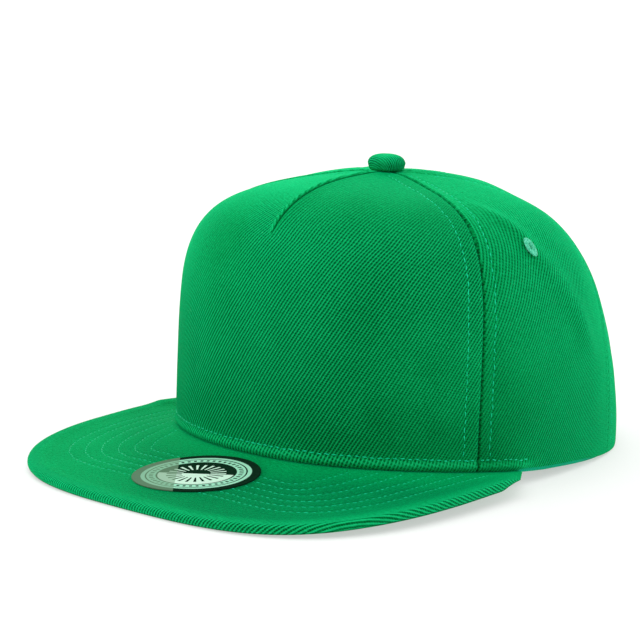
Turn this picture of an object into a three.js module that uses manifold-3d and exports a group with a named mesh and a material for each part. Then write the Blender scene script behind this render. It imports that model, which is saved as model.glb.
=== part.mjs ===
// Flat bill cap, in millimetres: +Z up, bill towards -Y, +X the wearer's left.
// Every piece of the crown follows one dome, found by a bearing (degrees round from the front)
// and a sweep (a quarter turn, in radians, from the rim up to the button).
import * as THREE from 'three';
import { mergeVertices } from 'three/addons/utils/BufferGeometryUtils.js';
import Module from 'manifold-3d';

const library = await Module();
library.setup();

// Crown: plan at the rim, height, and how the dome's section changes round the head
const crownHalfWidth = 81.6;
const crownFrontReach = 95.2;
const crownBackReach = 109.2;
const crownHeight = 117.0;
const crownPlanPower = 2.26;
const buttonAxisY = -10.0;
const wallThickness = 1.8;
const dome = [
  { bearing: 0, reachPower: 3.75, risePower: 4.44, taper: 0.04, rimHeight: 11.2 },
  { bearing: 60, reachPower: 4.38, risePower: 6.31, taper: 0.08, rimHeight: 9.1 },
  { bearing: 120, reachPower: 2.66, risePower: 2.82, taper: 0.0, rimHeight: 0.4 },
  { bearing: 180, reachPower: 3.2, risePower: 2.16, taper: 0.04, rimHeight: 0.0 },
];

// Panels, from seam to seam, the wearer's right side having negative bearings
const frontSeam = 65.7;
const backSeam = 115;
const seamGap = 0.3;
const topHoleRadius = 2.2;
const panels = [
  { name: 'front_panel', from: -frontSeam, to: frontSeam, columns: 26, eyelet: null },
  { name: 'side_panel_left', from: frontSeam, to: backSeam, columns: 9, eyelet: 'eyelet_side_left' },
  { name: 'side_panel_right', from: -backSeam, to: -frontSeam, columns: 9, eyelet: 'eyelet_side_right' },
  { name: 'back_panel_left', from: backSeam, to: 180, columns: 12, eyelet: 'eyelet_back_left' },
  { name: 'back_panel_right', from: -180, to: -backSeam, columns: 12, eyelet: 'eyelet_back_right' },
];
const panelRows = 16;
const bendWeight = 60; // millimetres of wall that one radian of bend counts for when rows are spaced

// Sewn dart down the top of the front panel, and the soft crease down each side panel
const dart = { start: 88, fade: 14, height: 1.1, spread: 5.5 };
const crease = { bearing: 90, start: 12, fade: 28, height: 0.9, spread: 7 };
const seamRise = { start: 12, fade: 28, height: 0.7, spread: 4.5 }; // turned edges lift the cloth there

// Eyelets: places by bearing and height up the wall, and the ring's section
const eyelets = [
  { name: 'eyelet_side_left', bearing: 85.5, along: 90.8 },
  { name: 'eyelet_side_right', bearing: -85.5, along: 90.8 },
  { name: 'eyelet_back_left', bearing: 147, along: 92 },
  { name: 'eyelet_back_right', bearing: -147, along: 92 },
];
const eyeletRadius = 4.5;
const eyeletInnerRadius = 3.6;
const eyeletBore = 1.4;
const eyeletSleeve = 2.3;
const eyeletHole = 2.6; // cut in the panel
const eyeletRise = 0.8; // thickness of each ring
const eyeletLift = 0.3; // gap under the outer ring
const eyeletInnerLift = 0.8; // gap over the inner ring, which the bent wall narrows
const eyeletSides = 12;

// Covered button on the top, with its shank through the panels and its flat inner disc
const buttonRadius = 7.6;
const buttonHeight = 6.4;
const buttonLift = 0.3; // gap over the panels
const buttonSkirt = 1.4; // straight part under the dome
const buttonShank = 1.7;
const buttonDisc = 5.0;
const buttonDiscThickness = 0.8;
const buttonDiscDrop = 1.4; // gap under the panels, which slope down to it
const buttonSides = 16;

// Bill: plan of its edge, its slope and its thickness
const billHalfWidth = 91.5;
const billReach = 64.4;
const billPlanPower = 3.2;
const billWidestY = -46;
const billRearReach = 34;
const billHalfThickness = 2.0;
const billCornerWidth = 4.6; // of the edge outside the rim where it is cut off
const billCornerShare = 0.6; // of the thickness that is left at the corners
const billFrontHeight = 2.0; // middle of the bill's thickness above the floor at the front edge
const billSideHeight = 7.7; // the same at the widest place
const billEnd = 76.6; // bearing where the bill's corner meets the rim
const billRise = 1.6; // over 1, the bill is flatter towards its edge and steeper at the rim
const billCorner = 18; // length over which the bill thins to its corners
const billSeat = 0.3; // gap between the rim and the bill sewn under it
const billNose = [20, 45, 70]; // turns of the round edge's rows, in degrees above its middle
const billColumns = 44;
const billRows = 5;

// Round foil sticker on the bill's top, just to the wearer's left of its middle
const stickerRadius = 25;
const stickerX = 3;
const stickerY = -125.5;
const stickerLift = 0.15;
const stickerThickness = 0.4;
const stickerRings = 3;
const stickerSpokes = 36;

// Sweatband inside the rim, its lower edge showing just below the panels
const sweatbandEnd = 149;
const sweatbandHeight = 32;
const sweatbandDrop = 0.9;
const sweatbandThickness = 1.0;
const sweatbandGap = 0.5;
const sweatbandColumns = 56;

// Arched opening at the back and the two snap straps that close it
const archHalfWidth = 36;
const archHeight = 46;
const archSteps = 20;
const strapLow = 2.5;
const strapHigh = 20.5;
const strapThickness = 1.4;
const strapGap = 0.5;
const strapTab = 47; // half the distance along the rim between the straps' sewn ends
const strapPitch = 9;
const holeStrapEnd = 12;
const studStrapEnd = -25;
const firstStud = -20;
const studCount = 6;
const holeCount = 5;
const studRadius = 2.0;
const studStand = 0.7; // height of a stud over the outer strap
const strapHole = 2.5;
const studSides = 8;

// Colours, as the eye sees them
const clothColour = '#0a8f4f';
const threadColour = '#4fd0a4';
const foilColour = '#b9c9c0';
const plasticColour = '#0b7a45';

const degree = Math.PI / 180;

// A column of the dome table as a smooth, even function of the bearing
function blend(column, bearing) {
  const [front, side, rear, back] = dome.map((row) => row[column]);
  const turn = bearing * degree;
  return (front + 2 * side + 2 * rear + back) / 6
    + ((front + side - rear - back) / 3) * Math.cos(turn)
    + ((front - side - rear + back) / 3) * Math.cos(2 * turn)
    + ((front - 2 * side + 2 * rear - back) / 6) * Math.cos(3 * turn);
}

function signedPower(value, power) {
  return Math.sign(value) * Math.abs(value) ** power;
}

function rimHeight(bearing) {
  return Math.max(0, blend('rimHeight', bearing));
}

function rimPoint(bearing) {
  const across = Math.sin(bearing * degree);
  const forward = Math.cos(bearing * degree);
  const reach = forward > 0 ? crownFrontReach : crownBackReach;
  const power = 2 / crownPlanPower;
  return new THREE.Vector2(
    crownHalfWidth * signedPower(across, power),
    -reach * signedPower(forward, power),
  );
}

function crownPoint(bearing, sweep) {
  const rim = rimPoint(bearing);
  const low = rimHeight(bearing);
  const reach = Math.max(0, Math.cos(sweep)) ** (2 / blend('reachPower', bearing));
  const rise = Math.max(0, Math.sin(sweep)) ** (2 / blend('risePower', bearing));
  const taper = blend('taper', bearing);
  return new THREE.Vector3(
    rim.x * reach,
    buttonAxisY + (rim.y - buttonAxisY) * reach,
    low + (crownHeight - low) * ((1 - taper) * rise + taper * (1 - reach)),
  );
}

function crownNormal(bearing, sweep) {
  const turn = 0.4;
  const tilt = 0.004;
  const low = Math.max(0, sweep - tilt);
  const high = Math.min(Math.PI / 2, sweep + tilt);
  const round = crownPoint(bearing + turn, sweep).sub(crownPoint(bearing - turn, sweep));
  const up = crownPoint(bearing, high).sub(crownPoint(bearing, low));
  return round.cross(up).normalize();
}

// Fine samples up one meridian, crowded at the rim and at the button, where the sweep moves fast
function meridian(bearing) {
  const count = 400;
  const samples = [];
  let length = 0;
  let turning = 0;
  let last = null;
  let heading = null;
  for (let i = 0; i <= count; i += 1) {
    const share = i / count;
    const sweep = (Math.PI / 2) * (share ** 3 / (share ** 3 + (1 - share) ** 3));
    const point = crownPoint(bearing, sweep);
    if (Math.hypot(point.x, point.y - buttonAxisY) < topHoleRadius) {
      break;
    }
    if (last) {
      const step = point.clone().sub(last);
      length += step.length();
      if (heading) {
        turning += heading.angleTo(step);
      }
      heading = step;
    }
    samples.push({ sweep, length, spacing: length + bendWeight * turning });
    last = point;
  }
  return samples;
}

// The sweep at which a meridian's running length, or its row spacing, has reached a value
function sweepWhere(samples, measure, value) {
  const after = samples.findIndex((sample) => sample[measure] >= value);
  if (after <= 0) {
    return after === 0 ? samples[0].sweep : samples[samples.length - 1].sweep;
  }
  const low = samples[after - 1];
  const high = samples[after];
  const share = (value - low[measure]) / (high[measure] - low[measure]);
  return low.sweep + (high.sweep - low.sweep) * share;
}

// How far the cloth stands proud of the smooth dome; it lies flat again under the button
function relief(bearing, along, radius) {
  const dartFade = THREE.MathUtils.smoothstep(along, dart.start, dart.start + dart.fade);
  const dartShape = Math.max(0, 1 - Math.abs(bearing) / dart.spread);
  const creaseShape = Math.exp(-(((Math.abs(bearing) - crease.bearing) / crease.spread) ** 2));
  const creaseFade = THREE.MathUtils.smoothstep(along, crease.start, crease.start + crease.fade);
  const seamDistances = [frontSeam, backSeam, 180].map((seam) => Math.abs(Math.abs(bearing) - seam));
  const seamShape = Math.max(0, 1 - Math.min(...seamDistances) / seamRise.spread);
  const seamFade = THREE.MathUtils.smoothstep(along, seamRise.start, seamRise.start + seamRise.fade);
  const clearOfButton = THREE.MathUtils.smoothstep(radius, buttonRadius, buttonRadius * 2);
  return clearOfButton * (dart.height * dartShape * dartFade + crease.height * creaseShape * creaseFade
    + seamRise.height * seamShape * seamFade);
}

// A closed wall between two grids of points: columns run with the bearing, rows run upwards
function wall(outer, inner) {
  const rows = outer.length - 1;
  const columns = outer[0].length - 1;
  const numbers = [...outer.flat(), ...inner.flat()].flatMap((point) => [point.x, point.y, point.z]);
  const outside = (row, column) => row * (columns + 1) + column;
  const inside = (row, column) => (rows + 1) * (columns + 1) + outside(row, column);
  const index = [];
  const quad = (a, b, c, d) => index.push(a, b, c, a, c, d);
  for (let row = 0; row < rows; row += 1) {
    for (let column = 0; column < columns; column += 1) {
      quad(
        outside(row, column), outside(row, column + 1),
        outside(row + 1, column + 1), outside(row + 1, column),
      );
      quad(
        inside(row, column), inside(row + 1, column),
        inside(row + 1, column + 1), inside(row, column + 1),
      );
    }
    quad(outside(row, 0), outside(row + 1, 0), inside(row + 1, 0), inside(row, 0));
    quad(outside(row + 1, columns), outside(row, columns), inside(row, columns), inside(row + 1, columns));
  }
  for (let column = 0; column < columns; column += 1) {
    quad(outside(0, column + 1), outside(0, column), inside(0, column), inside(0, column + 1));
    quad(outside(rows, column), outside(rows, column + 1), inside(rows, column + 1), inside(rows, column));
  }
  const geometry = new THREE.BufferGeometry();
  geometry.setAttribute('position', new THREE.Float32BufferAttribute(numbers, 3));
  geometry.setIndex(index);
  return geometry;
}

// A closed geometry as a solid that can be joined and cut, and a solid as a geometry again
function asSolid(geometry) {
  const bare = geometry.clone();
  bare.deleteAttribute('normal');
  bare.deleteAttribute('uv');
  const merged = mergeVertices(bare, 1e-4);
  return new library.Manifold(new library.Mesh({
    numProp: 3,
    vertProperties: new Float32Array(merged.attributes.position.array),
    triVerts: new Uint32Array(merged.index.array),
  }));
}

function asGeometry(solid) {
  const mesh = solid.getMesh();
  const geometry = new THREE.BufferGeometry();
  geometry.setAttribute('position', new THREE.BufferAttribute(new Float32Array(mesh.vertProperties), 3));
  geometry.setIndex(new THREE.BufferAttribute(new Uint32Array(mesh.triVerts), 1));
  return geometry;
}

// Where an eyelet or a stud sits: a point of the cloth's outer face and the turn from +Z to its normal
function seatOn(bearing, along) {
  const sweep = sweepWhere(meridian(bearing), 'length', along);
  const normal = crownNormal(bearing, sweep);
  const point = crownPoint(bearing, sweep);
  const radius = Math.hypot(point.x, point.y - buttonAxisY);
  point.addScaledVector(normal, relief(bearing, along, radius));
  const turn = new THREE.Quaternion().setFromUnitVectors(new THREE.Vector3(0, 0, 1), normal);
  return { point, turn };
}

// A round peg along the normal at a seat, from one height over the dome to another
function pegAt(seat, radius, low, high, sides) {
  const geometry = new THREE.CylinderGeometry(radius, radius, high - low, sides);
  geometry.rotateX(90 * degree);
  geometry.translate(0, 0, (low + high) / 2);
  geometry.applyQuaternion(seat.turn);
  geometry.translate(seat.point.x, seat.point.y, seat.point.z);
  return geometry;
}

// One panel: the seam edges stand half the seam gap back from the seam's own meridian
function panelGeometry({ from, to, columns, eyelet }) {
  const outer = Array.from({ length: panelRows + 1 }, () => []);
  const inner = Array.from({ length: panelRows + 1 }, () => []);
  for (let column = 0; column <= columns; column += 1) {
    const bearing = from + ((to - from) * column) / columns;
    const samples = meridian(bearing);
    const last = samples[samples.length - 1];
    const side = column === 0 ? 1 : column === columns ? -1 : 0;
    for (let row = 0; row <= panelRows; row += 1) {
      const sweep = sweepWhere(samples, 'spacing', (last.spacing * row) / panelRows);
      const seamPoint = crownPoint(bearing, sweep);
      const radius = Math.hypot(seamPoint.x, seamPoint.y - buttonAxisY);
      const place = bearing + (side * (seamGap / 2)) / radius / degree;
      const length = samples.find((sample) => sample.sweep >= sweep - 1e-9).length;
      const normal = crownNormal(place, sweep);
      const skin = crownPoint(place, sweep).addScaledVector(normal, relief(place, length, radius));
      const lining = skin.clone().addScaledVector(normal, -wallThickness);
      if (row === 0) {
        lining.z = skin.z;
      }
      outer[row].push(skin);
      inner[row].push(lining);
    }
  }
  let panel = asSolid(wall(outer, inner));
  if (eyelet) {
    const place = eyelets.find((entry) => entry.name === eyelet);
    const seat = seatOn(place.bearing, place.along);
    const punch = pegAt(seat, eyeletHole, -wallThickness * 2, wallThickness * 2, eyeletSides);
    panel = panel.subtract(asSolid(punch));
  }
  if (Math.abs(from) === 180 || Math.abs(to) === 180) {
    panel = panel.subtract(asSolid(archGeometry()));
  }
  return asGeometry(panel);
}

// The arch cut through the back, as a long block with a round top
function archGeometry() {
  const straight = archHeight - archHalfWidth;
  const margin = 10;
  const depth = crownBackReach / 2 + margin;
  const shape = new THREE.Shape();
  shape.moveTo(-archHalfWidth, -margin);
  shape.lineTo(archHalfWidth, -margin);
  shape.lineTo(archHalfWidth, straight);
  shape.absarc(0, straight, archHalfWidth, 0, Math.PI, false);
  const geometry = new THREE.ExtrudeGeometry(shape, { depth, bevelEnabled: false, curveSegments: archSteps });
  geometry.rotateX(90 * degree);
  geometry.translate(0, crownBackReach + margin, 0);
  return geometry;
}

// A band that follows the inside of the wall, between two bearings and two heights up the wall
function bandGeometry({ from, to, columns, rows, low, high, inset, thickness }) {
  const outer = Array.from({ length: rows + 1 }, () => []);
  const inner = Array.from({ length: rows + 1 }, () => []);
  for (let column = 0; column <= columns; column += 1) {
    const bearing = from + ((to - from) * column) / columns;
    const samples = meridian(bearing);
    for (let row = 0; row <= rows; row += 1) {
      const along = Math.max(0, low) + ((high - Math.max(0, low)) * row) / rows;
      const sweep = sweepWhere(samples, 'length', along);
      const normal = crownNormal(bearing, sweep);
      const face = crownPoint(bearing, sweep).addScaledVector(normal, -inset);
      const back = crownPoint(bearing, sweep).addScaledVector(normal, -inset - thickness);
      if (row === 0) {
        face.z = Math.max(0, crownPoint(bearing, sweep).z + Math.min(0, low));
        back.z = face.z;
      }
      outer[row].push(face);
      inner[row].push(back);
    }
  }
  return wall(outer, inner);
}

// The bearing that lies a distance round the rim from the back's centre, positive to the wearer's left
function bearingBehind(distance) {
  const step = 0.25;
  let bearing = 180;
  let walked = 0;
  while (walked < Math.abs(distance)) {
    walked += rimPoint(bearing).distanceTo(rimPoint(bearing - step));
    bearing -= step;
  }
  return distance < 0 ? 360 - bearing : bearing;
}

// The strap with studs lies inside the strap with holes, and its studs stand through them
function strapGeometries() {
  const holeInset = wallThickness + strapGap;
  const studInset = holeInset + strapThickness + seamGap;
  const shared = { columns: 14, rows: 1, low: strapLow, high: strapHigh, thickness: strapThickness };
  const middle = (strapLow + strapHigh) / 2;
  let studStrap = asSolid(bandGeometry({
    ...shared, from: bearingBehind(strapTab), to: bearingBehind(studStrapEnd), inset: studInset,
  }));
  let holeStrap = asSolid(bandGeometry({
    ...shared, from: bearingBehind(holeStrapEnd), to: bearingBehind(-strapTab), inset: holeInset,
  }));
  for (let stud = 0; stud < studCount; stud += 1) {
    const seat = seatOn(bearingBehind(firstStud + stud * strapPitch), middle);
    const root = -studInset - strapThickness / 2;
    studStrap = studStrap.add(asSolid(pegAt(seat, studRadius, root, -holeInset + studStand, studSides)));
  }
  for (let hole = 0; hole < holeCount; hole += 1) {
    const seat = seatOn(bearingBehind(firstStud + (hole - 1) * strapPitch), middle);
    const depth = -holeInset - strapThickness * 1.5;
    holeStrap = holeStrap.subtract(asSolid(pegAt(seat, strapHole, depth, wallThickness, studSides)));
  }
  return { studStrap: asGeometry(studStrap), holeStrap: asGeometry(holeStrap) };
}

// An eyelet's section: a sleeve through the wall between a ring outside and a smaller one inside
function eyeletGeometry() {
  const over = eyeletLift;
  const under = -wallThickness - eyeletInnerLift;
  const shoulder = eyeletRise * 0.75;
  const section = [
    [eyeletBore, under - eyeletRise / 2], [eyeletSleeve, under - eyeletRise],
    [eyeletInnerRadius - 0.3, under - shoulder], [eyeletInnerRadius, under],
    [eyeletSleeve, under], [eyeletSleeve, over], [eyeletRadius, over],
    [eyeletRadius - 0.6, over + shoulder], [eyeletSleeve, over + eyeletRise],
    [eyeletBore, over + eyeletRise / 2], [eyeletBore, under - eyeletRise / 2],
  ];
  const geometry = new THREE.LatheGeometry(section.map(([x, y]) => new THREE.Vector2(x, y)), eyeletSides);
  geometry.rotateX(90 * degree);
  return geometry;
}

// The button's section from the axis under the disc, out round it, up the shank and over the dome
function buttonGeometry() {
  const discTop = -wallThickness - buttonDiscDrop;
  const discLow = discTop - buttonDiscThickness;
  const domeLow = buttonLift + buttonSkirt;
  const section = [
    [0, discLow], [buttonDisc, discLow], [buttonDisc, discTop], [buttonShank, discTop],
    [buttonShank, buttonLift], [buttonRadius * 0.9, buttonLift],
  ];
  const domeSteps = 7;
  for (let step = 0; step < domeSteps; step += 1) {
    const turn = (step / domeSteps) * 90 * degree;
    section.push([
      buttonRadius * Math.cos(turn) ** 0.75,
      domeLow + (buttonHeight - domeLow) * Math.sin(turn) ** 0.9,
    ]);
  }
  section.push([0, buttonHeight]);
  const geometry = new THREE.LatheGeometry(section.map(([x, y]) => new THREE.Vector2(x, y)), buttonSides);
  geometry.rotateX(90 * degree);
  return geometry;
}

// Middle of the bill's edge in plan and height, by the angle round from the front
function billEdge(angle) {
  const across = Math.sin(angle);
  const forward = Math.cos(angle);
  const power = 2 / billPlanPower;
  const frontReach = crownFrontReach + billReach + billWidestY;
  const x = billHalfWidth * signedPower(across, power);
  const y = billWidestY - (forward > 0 ? frontReach : billRearReach) * signedPower(forward, power);
  const corner = rimPoint(billEnd);
  const cornerHeight = rimHeight(billEnd) - billSeat - billHalfThickness;
  const toFront = THREE.MathUtils.clamp((billWidestY - y) / frontReach, 0, 1);
  const toCorner = THREE.MathUtils.clamp((y - billWidestY) / (corner.y - billWidestY), 0, 1);
  const z = billSideHeight + (billFrontHeight - billSideHeight) * toFront ** 1.5
    + (cornerHeight - billSideHeight) * toCorner;
  return new THREE.Vector3(x, y, z);
}

// Middle of the bill's thickness under the rim, a distance in from the wall's outer face
function billRoot(bearing, inset) {
  const rim = rimPoint(bearing);
  const normal = crownNormal(bearing, 0).setZ(0).normalize();
  return new THREE.Vector3(
    rim.x - normal.x * inset,
    rim.y - normal.y * inset,
    rimHeight(bearing) - billSeat - billHalfThickness,
  );
}

// Points at equal distances along a curve given as a function of 0 to 1
function evenPoints(curve, count) {
  const fine = 600;
  const samples = Array.from({ length: fine + 1 }, (_, i) => curve(i / fine));
  const lengths = [0];
  for (let i = 1; i <= fine; i += 1) {
    lengths.push(lengths[i - 1] + samples[i].distanceTo(samples[i - 1]));
  }
  return Array.from({ length: count + 1 }, (_, i) => {
    const target = (lengths[fine] * i) / count;
    const after = Math.max(1, lengths.findIndex((length) => length >= target - 1e-9));
    const share = (target - lengths[after - 1]) / (lengths[after] - lengths[after - 1]);
    return samples[after - 1].clone().lerp(samples[after], share);
  });
}

// The edge runs round until it lies a corner's width outside the rim, where it is cut off
function billEdgeEnd() {
  let angle = 90 * degree;
  const clear = (point) => Math.abs(point.x / (crownHalfWidth + billCornerWidth)) ** crownPlanPower
    + Math.abs(point.y / (crownFrontReach + billCornerWidth)) ** crownPlanPower > 1;
  while (clear(billEdge(angle))) {
    angle += 0.1 * degree;
  }
  return angle;
}

// The bill as two skins, drawn from the rim to the edge and joined by a round nose
function billGeometry() {
  const edgeEnd = billEdgeEnd();
  const edge = evenPoints((share) => billEdge((share * 2 - 1) * edgeEnd), billColumns);
  const lip = evenPoints((share) => billRoot((share * 2 - 1) * billEnd, 0), billColumns);
  const root = evenPoints((share) => billRoot((share * 2 - 1) * billEnd, wallThickness), billColumns);
  const spacing = edge[0].distanceTo(edge[1]);
  const thickness = (column) => {
    const fromCorner = Math.min(column, billColumns - column) * spacing;
    const share = THREE.MathUtils.smoothstep(fromCorner, 0, billCorner);
    return 2 * billHalfThickness * (billCornerShare + (1 - billCornerShare) * share);
  };
  const outward = (column) => edge[column].clone().sub(lip[column]).setZ(0).normalize();
  const top = [];
  const under = [];
  const addRow = (place) => {
    top.push(edge.map((_, column) => place(column, 1)));
    under.push(edge.map((_, column) => place(column, -1)));
  };
  const lift = (point, column, side, turn) => {
    const half = thickness(column) / 2;
    point.z += billHalfThickness - half + side * half * Math.sin(turn);
    return point;
  };
  for (const turn of billNose) {
    addRow((column, side) => {
      const reach = (thickness(column) / 2) * Math.cos(turn * degree);
      return lift(edge[column].clone().addScaledVector(outward(column), reach), column, side, turn * degree);
    });
  }
  for (let row = 0; row <= billRows; row += 1) {
    const share = row / billRows;
    addRow((column, side) => {
      const point = edge[column].clone().lerp(lip[column], share);
      point.z = THREE.MathUtils.lerp(edge[column].z, lip[column].z, share ** billRise);
      return lift(point, column, side, 90 * degree);
    });
  }
  addRow((column, side) => lift(root[column].clone(), column, side, 90 * degree));
  return wall(top, under);
}

// A thin disc laid on the bill's top, each of its points dropped onto the surface under it
function stickerGeometry(bill) {
  const caster = new THREE.Raycaster();
  const rings = stickerRings;
  const spokes = stickerSpokes;
  const height = (x, y) => {
    caster.set(new THREE.Vector3(x, y, crownHeight), new THREE.Vector3(0, 0, -1));
    return caster.intersectObject(bill)[0].point.z + stickerLift;
  };
  const lower = [new THREE.Vector3(stickerX, stickerY, height(stickerX, stickerY))];
  for (let ring = 1; ring <= rings; ring += 1) {
    for (let spoke = 0; spoke < spokes; spoke += 1) {
      const turn = (spoke / spokes) * 2 * Math.PI;
      const x = stickerX + (stickerRadius * ring * Math.cos(turn)) / rings;
      const y = stickerY + (stickerRadius * ring * Math.sin(turn)) / rings;
      lower.push(new THREE.Vector3(x, y, height(x, y)));
    }
  }
  const upper = lower.map((point) => point.clone().setZ(point.z + stickerThickness));
  const at = (ring, spoke) => (ring === 0 ? 0 : 1 + (ring - 1) * spokes + (spoke % spokes));
  const above = lower.length;
  const index = [];
  for (let spoke = 0; spoke < spokes; spoke += 1) {
    const [near, far] = [spoke, spoke + 1];
    index.push(above, above + at(1, near), above + at(1, far), 0, at(1, far), at(1, near));
    for (let ring = 1; ring < rings; ring += 1) {
      const corners = [at(ring, near), at(ring + 1, near), at(ring + 1, far), at(ring, far)];
      const [a, b, c, d] = corners;
      index.push(above + a, above + b, above + c, above + a, above + c, above + d);
      index.push(a, c, b, a, d, c);
    }
    const [a, b] = [at(rings, near), at(rings, far)];
    index.push(a, b, above + b, a, above + b, above + a);
  }
  const geometry = new THREE.BufferGeometry();
  const numbers = [...lower, ...upper].flatMap((point) => [point.x, point.y, point.z]);
  geometry.setAttribute('position', new THREE.Float32BufferAttribute(numbers, 3));
  geometry.setIndex(index);
  return geometry;
}

const cap = new THREE.Group();

function addPiece(name, geometry, colour, roughness, metalness = 0) {
  const material = new THREE.MeshStandardMaterial({ color: colour, roughness, metalness });
  const mesh = new THREE.Mesh(geometry, material);
  mesh.name = name;
  cap.add(mesh);
  return mesh;
}

for (const panel of panels) {
  addPiece(panel.name, panelGeometry(panel), clothColour, 0.9);
}

const button = addPiece('top_button', buttonGeometry(), clothColour, 0.9);
button.position.set(0, buttonAxisY, crownHeight);

for (const eyelet of eyelets) {
  const seat = seatOn(eyelet.bearing, eyelet.along);
  const ring = addPiece(eyelet.name, eyeletGeometry(), threadColour, 0.7);
  ring.position.copy(seat.point);
  ring.quaternion.copy(seat.turn);
}

addPiece('sweatband', bandGeometry({
  from: -sweatbandEnd,
  to: sweatbandEnd,
  columns: sweatbandColumns,
  rows: 3,
  low: -sweatbandDrop,
  high: sweatbandHeight,
  inset: wallThickness + sweatbandGap,
  thickness: sweatbandThickness,
}), clothColour, 0.9);

const straps = strapGeometries();
addPiece('strap_left', straps.studStrap, plasticColour, 0.5);
addPiece('strap_right', straps.holeStrap, plasticColour, 0.5);

const bill = addPiece('bill', billGeometry(), clothColour, 0.9);
addPiece('bill_sticker', stickerGeometry(bill), foilColour, 0.3, 0.6);

// The cap stands on the floor with its outline centred over the origin
const box = new THREE.Box3().setFromObject(cap);
cap.position.set(-(box.min.x + box.max.x) / 2, -(box.min.y + box.max.y) / 2, -box.min.z);

export default cap;
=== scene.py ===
import math
import bpy
import bmesh
import numpy as np
from mathutils import Matrix, Vector, noise
from mathutils.bvhtree import BVHTree


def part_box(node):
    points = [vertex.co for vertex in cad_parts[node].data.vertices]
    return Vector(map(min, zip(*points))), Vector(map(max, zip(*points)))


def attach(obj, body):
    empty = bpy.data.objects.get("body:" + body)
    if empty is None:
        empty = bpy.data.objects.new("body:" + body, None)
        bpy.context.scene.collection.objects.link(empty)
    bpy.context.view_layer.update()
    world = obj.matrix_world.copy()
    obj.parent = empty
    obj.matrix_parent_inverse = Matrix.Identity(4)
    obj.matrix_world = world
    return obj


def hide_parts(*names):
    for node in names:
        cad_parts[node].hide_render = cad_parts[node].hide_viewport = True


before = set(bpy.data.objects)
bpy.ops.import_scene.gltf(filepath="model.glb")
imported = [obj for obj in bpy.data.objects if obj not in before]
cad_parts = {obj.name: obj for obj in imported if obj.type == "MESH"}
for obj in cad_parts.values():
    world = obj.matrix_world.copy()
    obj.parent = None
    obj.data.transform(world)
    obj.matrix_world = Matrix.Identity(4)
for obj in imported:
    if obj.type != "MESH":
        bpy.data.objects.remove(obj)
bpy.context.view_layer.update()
print("frame loaded,", len(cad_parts), "nodes")

# Flat bill cap. Lengths are millimetres here and metres in Blender.
# A place on the crown is a bearing (degrees round from the front) and a height up the cloth.
mm = 0.001
degree = math.pi / 180

crown = {
    "halfWidth": 81.6, "frontReach": 95.2, "backReach": 109.2, "height": 117.0,
    "planPower": 2.26, "axisY": -10.0, "wall": 1.8, "frontSeam": 65.7, "backSeam": 115.0,
    "seamGap": 0.3, "topHole": 2.2, "bendWeight": 60,
}
domeSections = {  # at the front, a third and two thirds of the way round, and at the back
    "reachPower": (3.75, 4.38, 2.66, 3.2),
    "risePower": (4.44, 6.31, 2.82, 2.16),
    "taper": (0.04, 0.08, 0.0, 0.04),
    "rimHeight": (11.2, 9.1, 0.4, 0.0),
}
photo = {"bearing": 39.1, "lift": 9.8, "roll": 2.1, "distance": 900.0, "lens": 118.97,
         "target": (-30.48, -13.55, 50.41)}
buttonLow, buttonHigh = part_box("top_button")
planShift = (buttonLow.y + buttonHigh.y) / 2 / mm - crown["axisY"]


def toFrame(points):
    return (np.asarray(points, float) + np.array([0, planShift, 0])) * mm


def fromFrame(points):
    return points / mm - [0, planShift, 0]


# Curves and shares

def unit(vectors):
    return vectors / np.linalg.norm(vectors, axis=-1, keepdims=True).clip(1e-9)


def smooth(value, low, high):
    share = ((value - low) / (high - low)).clip(0, 1)
    return share * share * (3 - 2 * share)


def bell(value, middle, width):
    return np.exp(-(((value - middle) / width) ** 2))


def signedPower(value, power):
    return np.sign(value) * np.abs(value) ** power


def lengthsAlong(points):
    return np.concatenate([[0], np.cumsum(np.linalg.norm(np.diff(points, axis=0), axis=1))])


def evenPoints(points, count):
    steps = lengthsAlong(points)
    wanted = np.linspace(0, steps[-1], count + 1)
    return np.stack([np.interp(wanted, steps, points[:, axis]) for axis in range(3)], -1)


def waves(points, scale, height):
    return np.array([noise.noise(Vector(point) * scale) for point in points]) * height


# The dome that every piece of the crown follows

def section(column, bearing):
    front, side, rear, back = domeSections[column]
    turn = np.asarray(bearing, float) * degree
    return (
        (front + 2 * side + 2 * rear + back) / 6
        + (front + side - rear - back) / 3 * np.cos(turn)
        + (front - side - rear + back) / 3 * np.cos(2 * turn)
        + (front - 2 * side + 2 * rear - back) / 6 * np.cos(3 * turn)
    )


def rimHeight(bearing):
    return np.maximum(0, section("rimHeight", bearing))


def rimPlan(bearing):
    turn = np.asarray(bearing, float) * degree
    reach = np.where(np.cos(turn) > 0, crown["frontReach"], crown["backReach"])
    power = 2 / crown["planPower"]
    across = crown["halfWidth"] * signedPower(np.sin(turn), power)
    return np.stack([across, -reach * signedPower(np.cos(turn), power)], -1)


def crownPoint(bearing, sweep):
    rim, low = rimPlan(bearing), rimHeight(bearing)
    reach = np.cos(sweep).clip(0) ** (2 / section("reachPower", bearing))
    rise = np.sin(sweep).clip(0) ** (2 / section("risePower", bearing))
    taper = section("taper", bearing)
    y = crown["axisY"] + (rim[..., 1] - crown["axisY"]) * reach
    z = low + (crown["height"] - low) * ((1 - taper) * rise + taper * (1 - reach))
    return np.stack([rim[..., 0] * reach, y, z], -1)


def axisRadius(points):
    return np.hypot(points[..., 0], points[..., 1] - crown["axisY"])


def crownAxes(bearing, sweep):
    turn, tilt = 0.4, 0.004
    onward = crownPoint(bearing + turn, sweep) - crownPoint(bearing - turn, sweep)
    high = crownPoint(bearing, np.minimum(sweep + tilt, math.pi / 2))
    up = high - crownPoint(bearing, np.maximum(sweep - tilt, 0))
    speed = np.linalg.norm(onward, axis=-1) / (2 * turn)  # millimetres to a degree
    return unit(onward), unit(up), unit(np.cross(onward, up)), speed


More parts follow.
